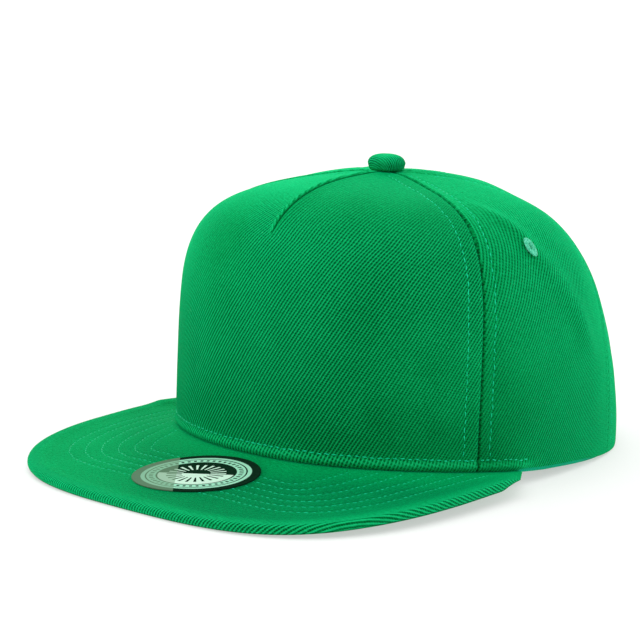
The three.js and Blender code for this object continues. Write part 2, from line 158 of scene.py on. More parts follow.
def meridian(bearing):
    # sweep, length up the cloth, and that length drawn out where the cloth bends
    share = np.linspace(0, 1, 401)
    sweep = math.pi / 2 * share**3 / (share**3 + (1 - share) ** 3)
    points = crownPoint(np.full(401, float(bearing)), sweep)
    keep = axisRadius(points) >= crown["topHole"]
    sweep, points = sweep[keep], points[keep]
    length = lengthsAlong(points)
    heading = unit(np.diff(points, axis=0))
    bends = np.arccos((heading[1:] * heading[:-1]).sum(1).clip(-1, 1))
    bend = np.concatenate([[0, 0], np.cumsum(bends)])
    return sweep, length, length + crown["bendWeight"] * bend


def sweepAt(bearings, alongs):
    found = []
    for bearing, along in zip(np.ravel(bearings), np.ravel(alongs)):
        sweep, length = meridian(bearing)[:2]
        found.append(np.interp(along, length, sweep))
    return np.array(found)


# How far the sewn cloth stands proud of the dome, or sinks into it

sewing = {
    "grooveDepth": 0.9, "grooveWidth": 0.42,
    "lipFront": 0.2, "lipBack": 0.1, "lipAt": 2.2, "lipWidth": 1.7,
    "rowFront": 7.0, "rowSide": 5.6, "rowBack": 6.0, "rowDip": 0.25, "rowWidth": 0.9,
    "hemRow": 4.5, "hemDip": 0.4, "hemPuff": 0.45, "hemTurn": 0.9,
    "fadeLow": 3, "fadeHigh": 30,
    "bulk": 0.5, "bulkWidth": 6.5, "bulkReach": 34,
    "gather": 0.35, "hemEnd": 83, "trim": 0.8, "trimEnd": 106, "plainTurn": 0.3,
    "foldRise": 0.6, "foldAt": 1.0, "foldWidth": 0.55,
}
rowsBeside = {  # the stitch rows before and behind each seam
    crown["frontSeam"]: ("rowFront", "rowSide"),
    crown["backSeam"]: ("rowSide", "rowBack"),
    180: ("rowBack", "rowBack"),
}
dart = {"start": 86, "fade": 9, "ridge": 0.95, "ridgeAt": -0.85, "ridgeWidth": 0.72, "drop": 0.35,
        "tent": 0.4, "tentWidth": 6.0, "wedge": 0.25, "teeth": 1.15}
crease = {"low": 120.5, "lean": 0.39, "start": 34, "end": 100, "fade": 20, "height": 1.5, "spread": 3.6}
heel = {"bearing": 127, "wide": 14, "height": 1.1, "start": 8, "end": 48}  # a low swell behind
slumps = [  # the far shoulder, and a spot high up behind the near side, sit lower
    {"bearing": -70, "along": 112, "depth": 1.35, "wide": 28, "tall": 25},
    {"bearing": 116, "along": 124, "depth": 0.8, "wide": 14, "tall": 13},
]
buttonRadius = 7.6


def hemmed(bearing):
    # the row along the rim runs from one end of the bill round the front to the other
    return 1 - smooth(np.abs(bearing), sewing["hemEnd"] - 2, sewing["hemEnd"] + 2)


def trimmed(bearing):
    # behind the ends of the bill the cloth stops a little short of the sweatband's edge
    side = np.abs(bearing)
    behind = smooth(side, sewing["trimEnd"] - 5, sewing["trimEnd"] + 5)
    return sewing["trim"] * smooth(side, 78, 83) * (1 - behind)


def foldShare(bearing, along, speed):
    # the side panel's edge, folded under beside the front seam, stands up as a cord over the top
    away = (np.abs(bearing) - crown["frontSeam"]) * speed
    return bell(away, sewing["foldAt"], sewing["foldWidth"]) * (away > 0) * smooth(along, 80, 100)


def openShare(along, seam):
    # the back seam lies nearly flat lower down
    return smooth(along, 50, 68) if abs(seam) == crown["backSeam"] else 1


def relief(bearing, along, points, speed):
    side, radius = np.abs(bearing), axisRadius(points)
    rise = np.zeros(len(points))
    fade = smooth(along, sewing["fadeLow"], sewing["fadeHigh"])
    topFade = smooth(radius, buttonRadius * 0.6, buttonRadius * 1.6)
    for seam, (before, behind) in rowsBeside.items():
        away = (side - seam) * speed
        near = np.abs(away)
        upper = openShare(along, seam)
        rise -= sewing["grooveDepth"] * bell(near, 0, sewing["grooveWidth"]) * (0.2 + 0.8 * upper)
        lip = np.where(away < 0, sewing["lipFront"], sewing["lipBack"])
        rise += lip * bell(near, sewing["lipAt"], sewing["lipWidth"]) * fade * topFade
        row = np.where(away < 0, sewing[before], sewing[behind])
        rise -= sewing["rowDip"] * bell(near, row, sewing["rowWidth"]) * topFade * upper
        bulk = sewing["bulk"] * bell(near, 0, sewing["bulkWidth"])
        rise += bulk * (1 - smooth(radius, 14, sewing["bulkReach"])) * smooth(radius, 5, 12)
    across = points[:, 0]
    folded = dart["ridge"] * bell(across, dart["ridgeAt"], dart["ridgeWidth"])
    folded = folded - dart["drop"] * bell(across, 0.3, 0.35)
    folded = folded + dart["tent"] * np.maximum(0, 1 - np.abs(across) / dart["tentWidth"])
    rise += smooth(along, dart["start"], dart["start"] + dart["fade"]) * topFade * (side < 90) * folded
    fold = bell(side, crease["low"] - crease["lean"] * along, crease["spread"])
    fold *= smooth(along, crease["start"], crease["start"] + crease["fade"])
    rise += crease["height"] * fold * (1 - smooth(along, crease["end"], crease["end"] + crease["fade"]))
    for slump in slumps:
        low = bell(bearing, slump["bearing"], slump["wide"]) * bell(along, slump["along"], slump["tall"])
        rise -= slump["depth"] * low
    rise += sewing["foldRise"] * foldShare(bearing, along, speed) * topFade
    swell = heel["height"] * bell(side, heel["bearing"], heel["wide"])
    rise += swell * (1 - smooth(along, heel["start"], heel["end"]))
    soft = smooth(side, crown["frontSeam"] - 8, crown["frontSeam"] + 10)  # the front is stiffened
    sway = waves(points, 0.03, 0.45) + waves(points + 400, 0.075, 0.22)
    rise += (sway - 0.25) * (0.35 + 0.65 * soft) * fade * topFade
    height = along - trimmed(bearing)
    sewn = sewing["hemPuff"] * bell(height, 2.2, 1.3)
    sewn = sewn - sewing["hemDip"] * bell(height, sewing["hemRow"], 0.9)
    turn = sewing["plainTurn"] + (sewing["hemTurn"] - sewing["plainTurn"]) * hemmed(bearing)
    return rise + sewn * hemmed(bearing) - turn * bell(height, 0, 0.7)


def clothPlace(bearing, along):
    bearing, along = np.array([bearing], float), np.array([along], float)
    sweep = sweepAt(bearing, along)
    onward, up, normal, speed = crownAxes(bearing, sweep)
    points = crownPoint(bearing, sweep)
    points = points + normal * relief(bearing, along, points, speed)[:, None]
    return points, onward, up, normal


# Small helpers for objects

def deselectAll():
    if bpy.context.object and bpy.context.object.mode != "OBJECT":
        bpy.ops.object.mode_set(mode="OBJECT")
    bpy.ops.object.select_all(action="DESELECT")


def startPiece(name):
    piece = bpy.context.object
    piece.name = name
    piece.data.name = name
    return piece


def setPoints(piece, points):
    piece.data.vertices.foreach_set("co", np.asarray(points, np.float32).ravel())
    piece.data.update()


def getPoints(piece):
    points = np.zeros(len(piece.data.vertices) * 3, np.float32)
    piece.data.vertices.foreach_get("co", points)
    return points.reshape(-1, 3).astype(float)


def activate(piece):
    deselectAll()
    piece.select_set(True)
    bpy.context.view_layer.objects.active = piece


def applyModifier(piece, kind, **settings):
    activate(piece)
    modifier = piece.modifiers.new(kind.title(), kind)
    for setting, value in settings.items():
        setattr(modifier, setting, value)
    bpy.ops.object.modifier_apply(modifier=modifier.name)


def faceOutwards(piece, merge=0.0):
    activate(piece)
    bpy.ops.object.mode_set(mode="EDIT")
    bpy.ops.mesh.select_all(action="SELECT")
    if merge:
        bpy.ops.mesh.remove_doubles(threshold=merge * mm)
    bpy.ops.mesh.normals_make_consistent(inside=False)
    bpy.ops.object.mode_set(mode="OBJECT")


def finishPiece(piece, material, slot, *nodes, angle=40):
    activate(piece)
    piece.data.materials.clear()
    piece.data.materials.append(material)
    bpy.ops.object.shade_smooth_by_angle(angle=angle * degree)
    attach(piece, "root")
    if nodes:
        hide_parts(*nodes)
    deselectAll()
    return piece


def gridPiece(name, columns, rows):
    # a flat grid, and each point's shares of the way across it and up it
    deselectAll()
    bpy.ops.mesh.primitive_grid_add(x_subdivisions=columns, y_subdivisions=rows, size=2)
    piece = startPiece(name)
    s, t = ((getPoints(piece)[:, :2] + 1) / 2).T
    return piece, s, t


def stepOf(share, count):
    return np.rint(share * count).astype(int)


def surfaceOf(piece):
    return BVHTree.FromObject(piece, bpy.context.evaluated_depsgraph_get())


def writeUv(piece, places, side=None, wedge=None):
    # where a dart is sewn, each face takes the cloth of its own side of it
    layer = piece.data.uv_layers[0]
    layer.name = "cloth"
    loops = np.zeros(len(piece.data.loops), np.int32)
    piece.data.loops.foreach_get("vertex_index", loops)
    spots = places[loops]
    if side is not None:
        sides = np.sign(side[loops].reshape(-1, 4).mean(1)).repeat(4)
        spots = spots + np.stack([sides * wedge[loops], np.zeros(len(loops))], -1)
    layer.data.foreach_set("uv", spots.astype(np.float32).ravel())


def writeValue(piece, name, values):
    piece.data.attributes.new(name, "FLOAT", "POINT").data.foreach_set("value", values.astype(np.float32))


# Materials

def addNode(tree, kind, **settings):
    node = tree.nodes.new(kind)
    for setting, value in settings.items():
        setattr(node, setting, value)
    return node


def plug(tree, socket, value):
    if isinstance(value, bpy.types.NodeSocket):
        tree.links.new(value, socket)
    else:
        socket.default_value = value


def calc(tree, operation, *values):
    node = addNode(tree, "ShaderNodeMath", operation=operation)
    for socket, value in zip(node.inputs, values):
        plug(tree, socket, value)
    return node.outputs[0]


def scaled(tree, value, size, base):
    return calc(tree, "MULTIPLY_ADD", value, size, base)


def centred(tree, value, size, base):
    return scaled(tree, calc(tree, "SUBTRACT", value, 0.5), size, base)


def wave(tree, value, pitch):
    turned = scaled(tree, value, 2 * math.pi / pitch, 0.0)
    return scaled(tree, calc(tree, "COSINE", turned), -0.5, 0.5)


def noiseOf(tree, place, scale, detail=2.0, rough=0.55):
    node = addNode(tree, "ShaderNodeTexNoise")
    plug(tree, node.inputs["Vector"], place)
    node.inputs["Scale"].default_value = scale
    node.inputs["Detail"].default_value = detail
    node.inputs["Roughness"].default_value = rough
    return node.outputs[0]


def splitOf(tree, vector):
    split = addNode(tree, "ShaderNodeSeparateXYZ")
    plug(tree, split.inputs[0], vector)
    return split.outputs[0], split.outputs[1]


def clothMap(tree):
    return addNode(tree, "ShaderNodeUVMap", uv_map="cloth").outputs[0]


def objectPlace(tree):
    return addNode(tree, "ShaderNodeTexCoord").outputs["Object"]


def painted(tree, name):
    return addNode(tree, "ShaderNodeAttribute", attribute_name=name).outputs["Fac"]


def screenColour(red, green, blue):
    return tuple(((part / 255 + 0.055) / 1.055) ** 2.4 if part > 10 else part / 255 / 12.92
                 for part in (red, green, blue))


def rampOf(tree, value, stops):
    # stops: each a place on the ramp and a plain colour
    node = addNode(tree, "ShaderNodeValToRGB")
    ramp = node.color_ramp
    for stop in stops[2:]:
        ramp.elements.new(0.5)
    for element, (place, colour) in zip(ramp.elements, stops):
        element.position = place
        element.color = (*colour, 1)
    plug(tree, node.inputs[0], value)
    return node.outputs[0]


def screenRamp(tree, value, stops):
    return rampOf(tree, value, [(place, screenColour(*colour)) for place, colour in stops])


def choose(tree, factor, low, high):
    mix = addNode(tree, "ShaderNodeMix", data_type="RGBA")
    plug(tree, mix.inputs[0], factor)
    for socket, value in ((mix.inputs[6], low), (mix.inputs[7], high)):
        plug(tree, socket, value if isinstance(value, bpy.types.NodeSocket) else (*screenColour(*value), 1))
    return mix.outputs[2]


def newMaterial(name, rough, sheen=0.0, specular=0.3):
    material = bpy.data.materials.new(name)
    material.use_nodes = True
    shader = material.node_tree.nodes["Principled BSDF"]
    shader.inputs["Roughness"].default_value = rough
    shader.inputs["Specular IOR Level"].default_value = specular
    shader.inputs["Sheen Weight"].default_value = sheen
    shader.inputs["Sheen Roughness"].default_value = 0.5
    shader.inputs["Sheen Tint"].default_value = (0.0, 1.0, 0.36, 1)
    shader.inputs["Specular Tint"].default_value = (0.1, 1.0, 0.45, 1)
    return material, material.node_tree, shader


def addBump(tree, shader, height, distance):
    bump = addNode(tree, "ShaderNodeBump")
    bump.inputs["Strength"].default_value = 1.0
    bump.inputs["Distance"].default_value = distance
    plug(tree, bump.inputs["Height"], height)
    tree.links.new(bump.outputs["Normal"], shader.inputs["Normal"])


twill = {
    "pitch": 1.3, "weftPitch": 0.98, "weftLean": 0.25,
    "drift": 0.5, "driftScale": 0.12, "shake": 0.26, "shakeScale": 1.1,
    "fibreScale": 1.7, "patchScale": 0.05, "patch": 0.22, "napAndSheenPaler": 0.1, "paintedLightAndWearPaler": 0.35,
    "beadPitch": 1.9, "beads": -0.7, "seamLine": -0.45,
    "dark": (0, 58, 18), "middle": (0, 131, 62), "light": (20, 190, 114),
    "bump": 0.32, "sheen": 0.75,
}


def twillMaterial(name, angle, pitch=twill["pitch"], contrast=1.0, ribs=0.5, dotting=0.85, mottle=0.3,
                  grain=0.7, sheen=twill["sheen"]):
    # ribs across the cloth's own length and width, with dark dots where the weft dips between them
    material, tree, shader = newMaterial(name, 0.9, sheen=sheen, specular=0.06)
    cloth = clothMap(tree)
    shifted = cloth
    for size, scale in ((twill["drift"], twill["driftScale"]), (twill["shake"], twill["shakeScale"])):
        shift = addNode(tree, "ShaderNodeVectorMath", operation="MULTIPLY_ADD")
        plug(tree, shift.inputs[0], noiseOf(tree, cloth, scale, 3).node.outputs["Color"])
        shift.inputs[1].default_value = (size,) * 3
        plug(tree, shift.inputs[2], shifted)
        shifted = shift.outputs[0]
    u, v = splitOf(tree, shifted)
    turn = angle * degree
    across = scaled(tree, u, -math.sin(turn), calc(tree, "MULTIPLY", v, math.cos(turn)))
    rib = wave(tree, across, pitch)
    weft = wave(tree, scaled(tree, u, twill["weftLean"], v), twill["weftPitch"])
    valley = calc(tree, "SUBTRACT", 1.0, rib)
    dots = calc(tree, "MULTIPLY", calc(tree, "POWER", valley, 1.5), weft)
    fibre = noiseOf(tree, cloth, twill["fibreScale"], 4, 0.7)
    patch = noiseOf(tree, cloth, twill["patchScale"], 2)
    fuzz = noiseOf(tree, cloth, grain, 3, 0.6)
    napAndSheen = painted(tree, "napAndSheen")
    keep = calc(tree, "MULTIPLY", calc(tree, "SUBTRACT", 1.0, napAndSheen), contrast)
    tone = centred(tree, rib, ribs, 0.13 * dotting)
    tone = scaled(tree, dots, -dotting, tone)
    tone = scaled(tree, tone, keep, 0.5)
    tone = centred(tree, fibre, scaled(tree, napAndSheen, 0.5, 0.8), tone)
    tone = centred(tree, fuzz, mottle, tone)
    tone = centred(tree, patch, twill["patch"], tone)
    # the nap value adds nap and a painted sheen, the worn value adds painted light and shade with the hem's
    # paleness, and the cord value a painted highlight with its teeth
    tone = scaled(tree, napAndSheen, twill["napAndSheenPaler"], tone)
    tone = scaled(tree, painted(tree, "paintedLightAndWear"), twill["paintedLightAndWearPaler"], tone)
    teeth = wave(tree, calc(tree, "ADD", u, v), dart["teeth"])
    tone = scaled(tree, painted(tree, "cord"), centred(tree, teeth, 0.6, 0.2), tone)
    # the line of a seam is painted dark as shade in its groove, and broken where its stitches hold it shut
    beads = centred(tree, wave(tree, v, twill["beadPitch"]), twill["beads"], twill["seamLine"])
    tone = scaled(tree, painted(tree, "groove"), beads, tone)
    colour = screenRamp(tree, tone, ((0.05, twill["dark"]), (0.5, twill["middle"]), (0.95, twill["light"])))
    plug(tree, shader.inputs["Base Color"], colour)
    height = calc(tree, "MULTIPLY", scaled(tree, dots, -0.5, rib), keep)
    height = scaled(tree, fibre, 0.5, height)
    height = scaled(tree, calc(tree, "MULTIPLY", fuzz, napAndSheen), 1.1, height)
    addBump(tree, shader, height, twill["bump"] * mm)
    return material


def threadMaterial(name, dark, light):
    material, tree, shader = newMaterial(name, 0.6, sheen=0.15, specular=0.35)
    strand = noiseOf(tree, objectPlace(tree), 1400, 2, 0.6)
    plug(tree, shader.inputs["Base Color"], screenRamp(tree, strand, ((0.3, dark), (0.7, light))))
    addBump(tree, shader, strand, 0.1 * mm)
    return material


frontTwill = twillMaterial("front_twill", 58.5, ribs=0.4, dotting=0.62)
sideTwill = twillMaterial("side_twill", 56, pitch=1.4, contrast=0.8, ribs=0.26, dotting=0.6, mottle=0.45)
billTwill = twillMaterial("bill_twill", 63, pitch=1.15, mottle=0.9, grain=0.9, sheen=0.66)
buttonTwill = twillMaterial("button_twill", -11, pitch=1.0, contrast=1.8, dotting=0.5)
seamThread = threadMaterial("seam_thread", (0, 184, 130), (32, 228, 176))
billThread = threadMaterial("bill_thread", (0, 172, 120), (30, 215, 165))
eyeletThread = threadMaterial("eyelet_thread", (10, 168, 122), (130, 238, 204))
print("cloth and thread materials made")


# Crown panels: a grid laid on the dome, given its wall and its turned edges

panelCut = {
    "rows": 116, "hemRows": 14, "hemReach": 6, "lap": 0.12, "plainDensity": 1.0,
    "seamDensity": 4.0, "seamSpread": 2.4, "dartDensity": 13.0, "dartSpread": 1.6,
}
panelKinds = {
    "front": {"columns": 176, "cloth": frontTwill, "drawFrom": 58, "draw": 0.0035},
    "side": {"columns": 64, "cloth": sideTwill, "drawFrom": 40, "draw": 0.003},
    "back": {"columns": 84, "cloth": sideTwill, "drawFrom": 40, "draw": 0.003},
}
panelEdges = {
    "front_panel": (-crown["frontSeam"], crown["frontSeam"]),
    "side_panel_left": (crown["frontSeam"], crown["backSeam"]),
    "side_panel_right": (-crown["backSeam"], -crown["frontSeam"]),
    "back_panel_left": (crown["backSeam"], 180),
    "back_panel_right": (-180, -crown["backSeam"]),
}
arch = {"halfWidth": 36, "straight": 10, "lip": 0.5, "lipWidth": 2.5, "row": 5.0}
eyeletPlaces = {
    "eyelet_side_left": (83.9, 88.8),
    "eyelet_side_right": (-83.9, 88.8),
    "eyelet_back_left": (147, 92),
    "eyelet_back_right": (-147, 92),
}
eyeletHole = 2.2


def columnPlaces(low, high, dartAt, count):
    # columns stand closer together beside the seams and the dart
    samples = np.linspace(low, high, 2000)
    density = np.full(2000, panelCut["plainDensity"])
    for place in (low, *dartAt, high):
        kind = "dart" if place in dartAt else "seam"
        density += panelCut[kind + "Density"] * bell(samples, place, panelCut[kind + "Spread"])
    total = np.concatenate([[0], np.cumsum((density[1:] + density[:-1]) / 2)])
    return np.interp(np.linspace(0, total[-1], count + 1), total, samples)


def archDistance(points):
    above = np.maximum(0, points[:, 2] - arch["straight"])
    distance = np.hypot(points[:, 0], above) - arch["halfWidth"]
    return np.where(points[:, 1] > 0, distance, 999)


def ontoArch(points, normals):
    above = np.maximum(0, points[:, 2] - arch["straight"])
    scale = arch["halfWidth"] / np.hypot(points[:, 0], above).clip(1e-6)
    moved = points.copy()
    moved[:, 0] = points[:, 0] * scale
    moved[:, 2] = np.where(above > 0, arch["straight"] + above * scale, points[:, 2])
    step = moved - points
    moved[:, 1] -= (normals[:, 0] * step[:, 0] + normals[:, 2] * step[:, 2]) / normals[:, 1]
    return moved


def spotOf(vertex):
    return tuple(np.round(np.array(vertex.co), 7))


def cutAway(piece, distance, settle):
    # takes out the faces inside a line, and moves the points left beside it onto it
    outside = distance(fromFrame(getPoints(piece)))
    activate(piece)
    bpy.ops.object.mode_set(mode="EDIT")
    bpy.ops.mesh.select_mode(type="FACE")
    bpy.ops.mesh.select_all(action="DESELECT")
    beside = set()
    for face in bmesh.from_edit_mesh(piece.data).faces:
        if outside[[corner.index for corner in face.verts]].mean() < 0:
            face.select = True
            beside.update(spotOf(corner) for corner in face.verts)
    bmesh.update_edit_mesh(piece.data)
    bpy.ops.mesh.delete(type="FACE")
    bpy.ops.object.mode_set(mode="OBJECT")
    kept = [vertex.index for vertex in piece.data.vertices if spotOf(vertex) in beside]
    normals = np.array([piece.data.vertices[index].normal for index in kept])
    points = fromFrame(getPoints(piece))
    points[kept] = settle(points[kept], normals)
    setPoints(piece, toFrame(points))


def boreEyelet(piece, bearing, along):
    seat = clothPlace(bearing, along)[0]
    cutAway(piece, lambda points: np.linalg.norm(points - seat, axis=1) - eyeletHole,
            lambda points, normals: seat + unit(points - seat) * eyeletHole)


def paintPanel(piece, kind, edges, bearing, height, sweep, points, speed):
    # where the cloth is seen along or across its ribs it is painted smoother, and paler on the far side:
    # partly its nap, partly a painted sheen
    side, across = np.abs(bearing), points[:, 0]
    onFront = side < crown["frontSeam"]
    high = smooth(sweep / degree, 36, 74)
    far = smooth(-bearing, -2, 2)
    leftHigh = 0.85 * smooth(-bearing, -4, 20) * smooth(height, 32, 84)
    rightLow = 0.3 * smooth(bearing, 22, 46) * (1 - smooth(height, 35, 75))
    behind = 0.5 * smooth(side, 96, 112)
    napAndSheen = np.maximum.reduce([high * (0.86 + 0.08 * far), leftHigh, rightLow, behind])
    # painted light and shade: the hem is painted paler; high up, the far side gets a painted highlight and
    # the front's near side painted shade; painted shade darkens the sides low down, a band low on the
    # front, and the front's far half below the top
    paintedLightAndWear = 0.8 * bell(height, 2.4, 1.4) * hemmed(bearing)
    paintedLightAndWear += high * (0.4 * far - 0.5 * (1 - far) * onFront)
    paintedLightAndWear -= 0.5 * (1 - smooth(height, 10, 65)) * ~onFront
    paintedLightAndWear -= 0.2 * smooth(height, 5, 9) * (1 - smooth(height, 12, 36)) * onFront
    paintedLightAndWear -= 0.58 * smooth(-bearing, -12, 40) * (1 - high) * onFront
    if kind == "front":
        sewn = smooth(height, dart["start"] - 1, dart["start"] + 5)
        napAndSheen = np.maximum(napAndSheen, 0.95 * sewn * np.exp(-((across / 1.9) ** 4)))
        # a painted shadow line runs beside the dart's ridge, and the cord value paints the ridge paler as a
        # highlight
        paintedLightAndWear -= 1.7 * sewn * bell(across, 0.25, 0.32)
        writeValue(piece, "cord", bell(across, dart["ridgeAt"], dart["ridgeWidth"]) * sewn)
    if kind == "side":
        # the side panel's folded edge gets the same painted highlight along its cord
        writeValue(piece, "cord", 0.6 * foldShare(bearing, height, speed))
    # the groove value places painted shade along each seam
    lines = [bell((bearing - edge) * speed, 0, 0.45) * openShare(height, edge) for edge in edges]
    writeValue(piece, "groove", sum(lines))
    writeValue(piece, "napAndSheen", napAndSheen)
    writeValue(piece, "paintedLightAndWear", paintedLightAndWear)


def makePanel(name, low, high):
    kind = name.split("_")[0]
    cut, rows = panelKinds[kind], panelCut["rows"]
    columns = cut["columns"]
    piece, s, t = gridPiece(name + "_cloth", columns, rows)
    bearings = columnPlaces(low, high, (0,) if kind == "front" else (), columns)
    sweep = np.zeros((columns + 1, rows + 1))
    along = np.zeros((columns + 1, rows + 1))
    for index, bearing in enumerate(bearings):
        sweeps, lengths, spacings = meridian(bearing)
        # rows lie closer at the bends and the hem
        spacings = spacings + panelCut["hemRows"] * (1 - np.exp(-lengths / panelCut["hemReach"]))
        wanted = np.linspace(np.interp(trimmed(bearing), lengths, spacings), spacings[-1], rows + 1)
        sweep[index] = np.interp(wanted, spacings, sweeps)
        along[index] = np.interp(wanted, spacings, lengths)
    place = np.repeat(bearings[:, None], rows + 1, 1)
    lap = panelCut["lap"] / axisRadius(crownPoint(place, sweep)) / degree
    place[0] -= lap[0]  # each edge runs a little under its neighbour's
    place[-1] += lap[-1]
    flat = crownPoint(place, sweep)
    # cloth coordinates: up the meridian, and round from the middle of the panel
    vTall = along + rimHeight(place)
    steps = np.linalg.norm(np.diff(flat, axis=0), axis=2)
    steps = np.sqrt(np.maximum(0, steps**2 - np.diff(vTall, axis=0) ** 2))
    uWide = np.concatenate([np.zeros((1, rows + 1)), np.cumsum(steps, axis=0)])
    uWide = uWide - uWide[np.argmin(np.abs(bearings - (low + high) / 2))]
    pick = stepOf(s, columns), stepOf(t, rows)
    bearing, height, points = place[pick], along[pick], flat[pick]
    normal, speed = crownAxes(bearing, sweep[pick])[2:]
    points = points + normal * relief(bearing, height, points, speed)[:, None]
    if kind == "back":
        points += normal * (arch["lip"] * bell(archDistance(points), 0, arch["lipWidth"]))[:, None]
    # the ribs stand steeper where the cloth is drawn in over the top, and below the row at the rim
    vPulled = vTall[pick] - cut["draw"] * np.maximum(0, vTall[pick] - cut["drawFrom"]) ** 2
    vPulled -= sewing["gather"] * np.minimum(0, height - sewing["hemRow"]) * hemmed(bearing)
    spots = np.stack([uWide[pick], vPulled], -1)
    if kind == "front":
        writeUv(piece, spots, bearing, np.maximum(0, height - dart["start"]) * dart["wedge"])
    else:
        writeUv(piece, spots)
    paintPanel(piece, kind, (low, high), bearing, height, sweep[pick], points, speed)
    setPoints(piece, toFrame(points))
    for eyeBearing, eyeAlong in eyeletPlaces.values():
        if low < eyeBearing < high:
            boreEyelet(piece, eyeBearing, eyeAlong)
    if kind == "back":
        cutAway(piece, archDistance, ontoArch)
    applyModifier(piece, "SOLIDIFY", thickness=crown["wall"] * mm, offset=-1, use_even_offset=False)
    finishPiece(piece, cut["cloth"], "cloth", name, angle=60)
    return piece


panels = [makePanel(name, *edges) for name, edges in panelEdges.items()]
print("crown panels made")

# Bill: a stiff board with a cloth cover, drawn as one skin from its root underneath round the edge
# to its root on top

bill = {
    "halfWidth": 91.5, "reach": 64.4, "planPower": 3.2, "widestY": -46.0, "rearReach": 34.0,
    "half": 2.0, "cornerShare": 0.15, "cornerLength": 14.0,
    "frontHeight": 2.0, "sideHeight": 7.7, "rise": 1.6, "seat": 0.3, "corner": 76.6,
    "edgeEnds": (-112.0, 96.5), "rimEnds": (-76.6, 80.0), "farLift": 3.6, "nearDrop": 0.6,
    "pipingAt": -42, "pipingDepth": 0.3,
    "columns": 260, "underRows": 90, "noseRows": 12, "topRows": 90,
    "firstRow": 23.0, "rowStep": 5.2, "rowCount": 6, "rowSpread": 10.5, "groove": 0.16,
    "grooveWidth": 0.8, "endRound": 2.0,
}


def billEdge(angle):
    power = 2 / bill["planPower"]
    reach = crown["frontReach"] + bill["reach"] + bill["widestY"]
    forward = signedPower(np.cos(angle), power)
    x = bill["halfWidth"] * signedPower(np.sin(angle), power)
    y = bill["widestY"] - np.where(forward > 0, reach, bill["rearReach"]) * forward
    cornerHeight = float(rimHeight(bill["corner"])) - bill["seat"] - bill["half"]
    cornerY = float(rimPlan(bill["corner"])[1])
    toFront = ((bill["widestY"] - y) / reach).clip(0, 1)
    toCorner = ((y - bill["widestY"]) / (cornerY - bill["widestY"])).clip(0, 1)
    z = bill["sideHeight"] + (bill["frontHeight"] - bill["sideHeight"]) * toFront**1.5
    z = z + (cornerHeight - bill["sideHeight"]) * toCorner
    # the wearer's right corner sits a little higher, the left side a little lower
    lift = np.where(x < 0, bill["farLift"] * smooth(y, -58, -18), -bill["nearDrop"] * smooth(y, -125, -70))
    return np.stack([x, y, z + lift], -1)


def billRoot(bearing, inset):
    normal = crownAxes(bearing, np.zeros_like(bearing))[2][:, :2]
    rim = rimPlan(bearing) - unit(normal) * inset
    return np.concatenate([rim, (rimHeight(bearing) - bill["seat"] - bill["half"])[:, None]], -1)


billRim = billEdge(np.radians(np.linspace(*bill["edgeEnds"], 1601)))
billRows = [bill["firstRow"] + bill["rowStep"] * row for row in range(bill["rowCount"])]


def edgeDistance(plan):
    found = []
    for chunk in np.array_split(plan, max(1, len(plan) // 2000)):
        found.append(np.sqrt(((chunk[:, None] - billRim[None, :, :2]) ** 2).sum(2)).min(1))
    return np.concatenate(found)


def rimClearance(plan):
    # how far a plan point lies outside the crown's rim, measured along the line to the middle
    power = crown["planPower"]
    across, forward = np.abs(plan[:, 0]) / crown["halfWidth"], np.abs(plan[:, 1]) / crown["frontReach"]
    level = across**power + forward**power
    return np.linalg.norm(plan, axis=1) * (1 - 1 / level.clip(1e-6) ** (1 / power))


def rowSpread(plan):
    # the rows run nearer the edge at the two sides than at the front
    return bill["rowSpread"] * smooth(np.abs(plan[:, 0]), 20, 78)


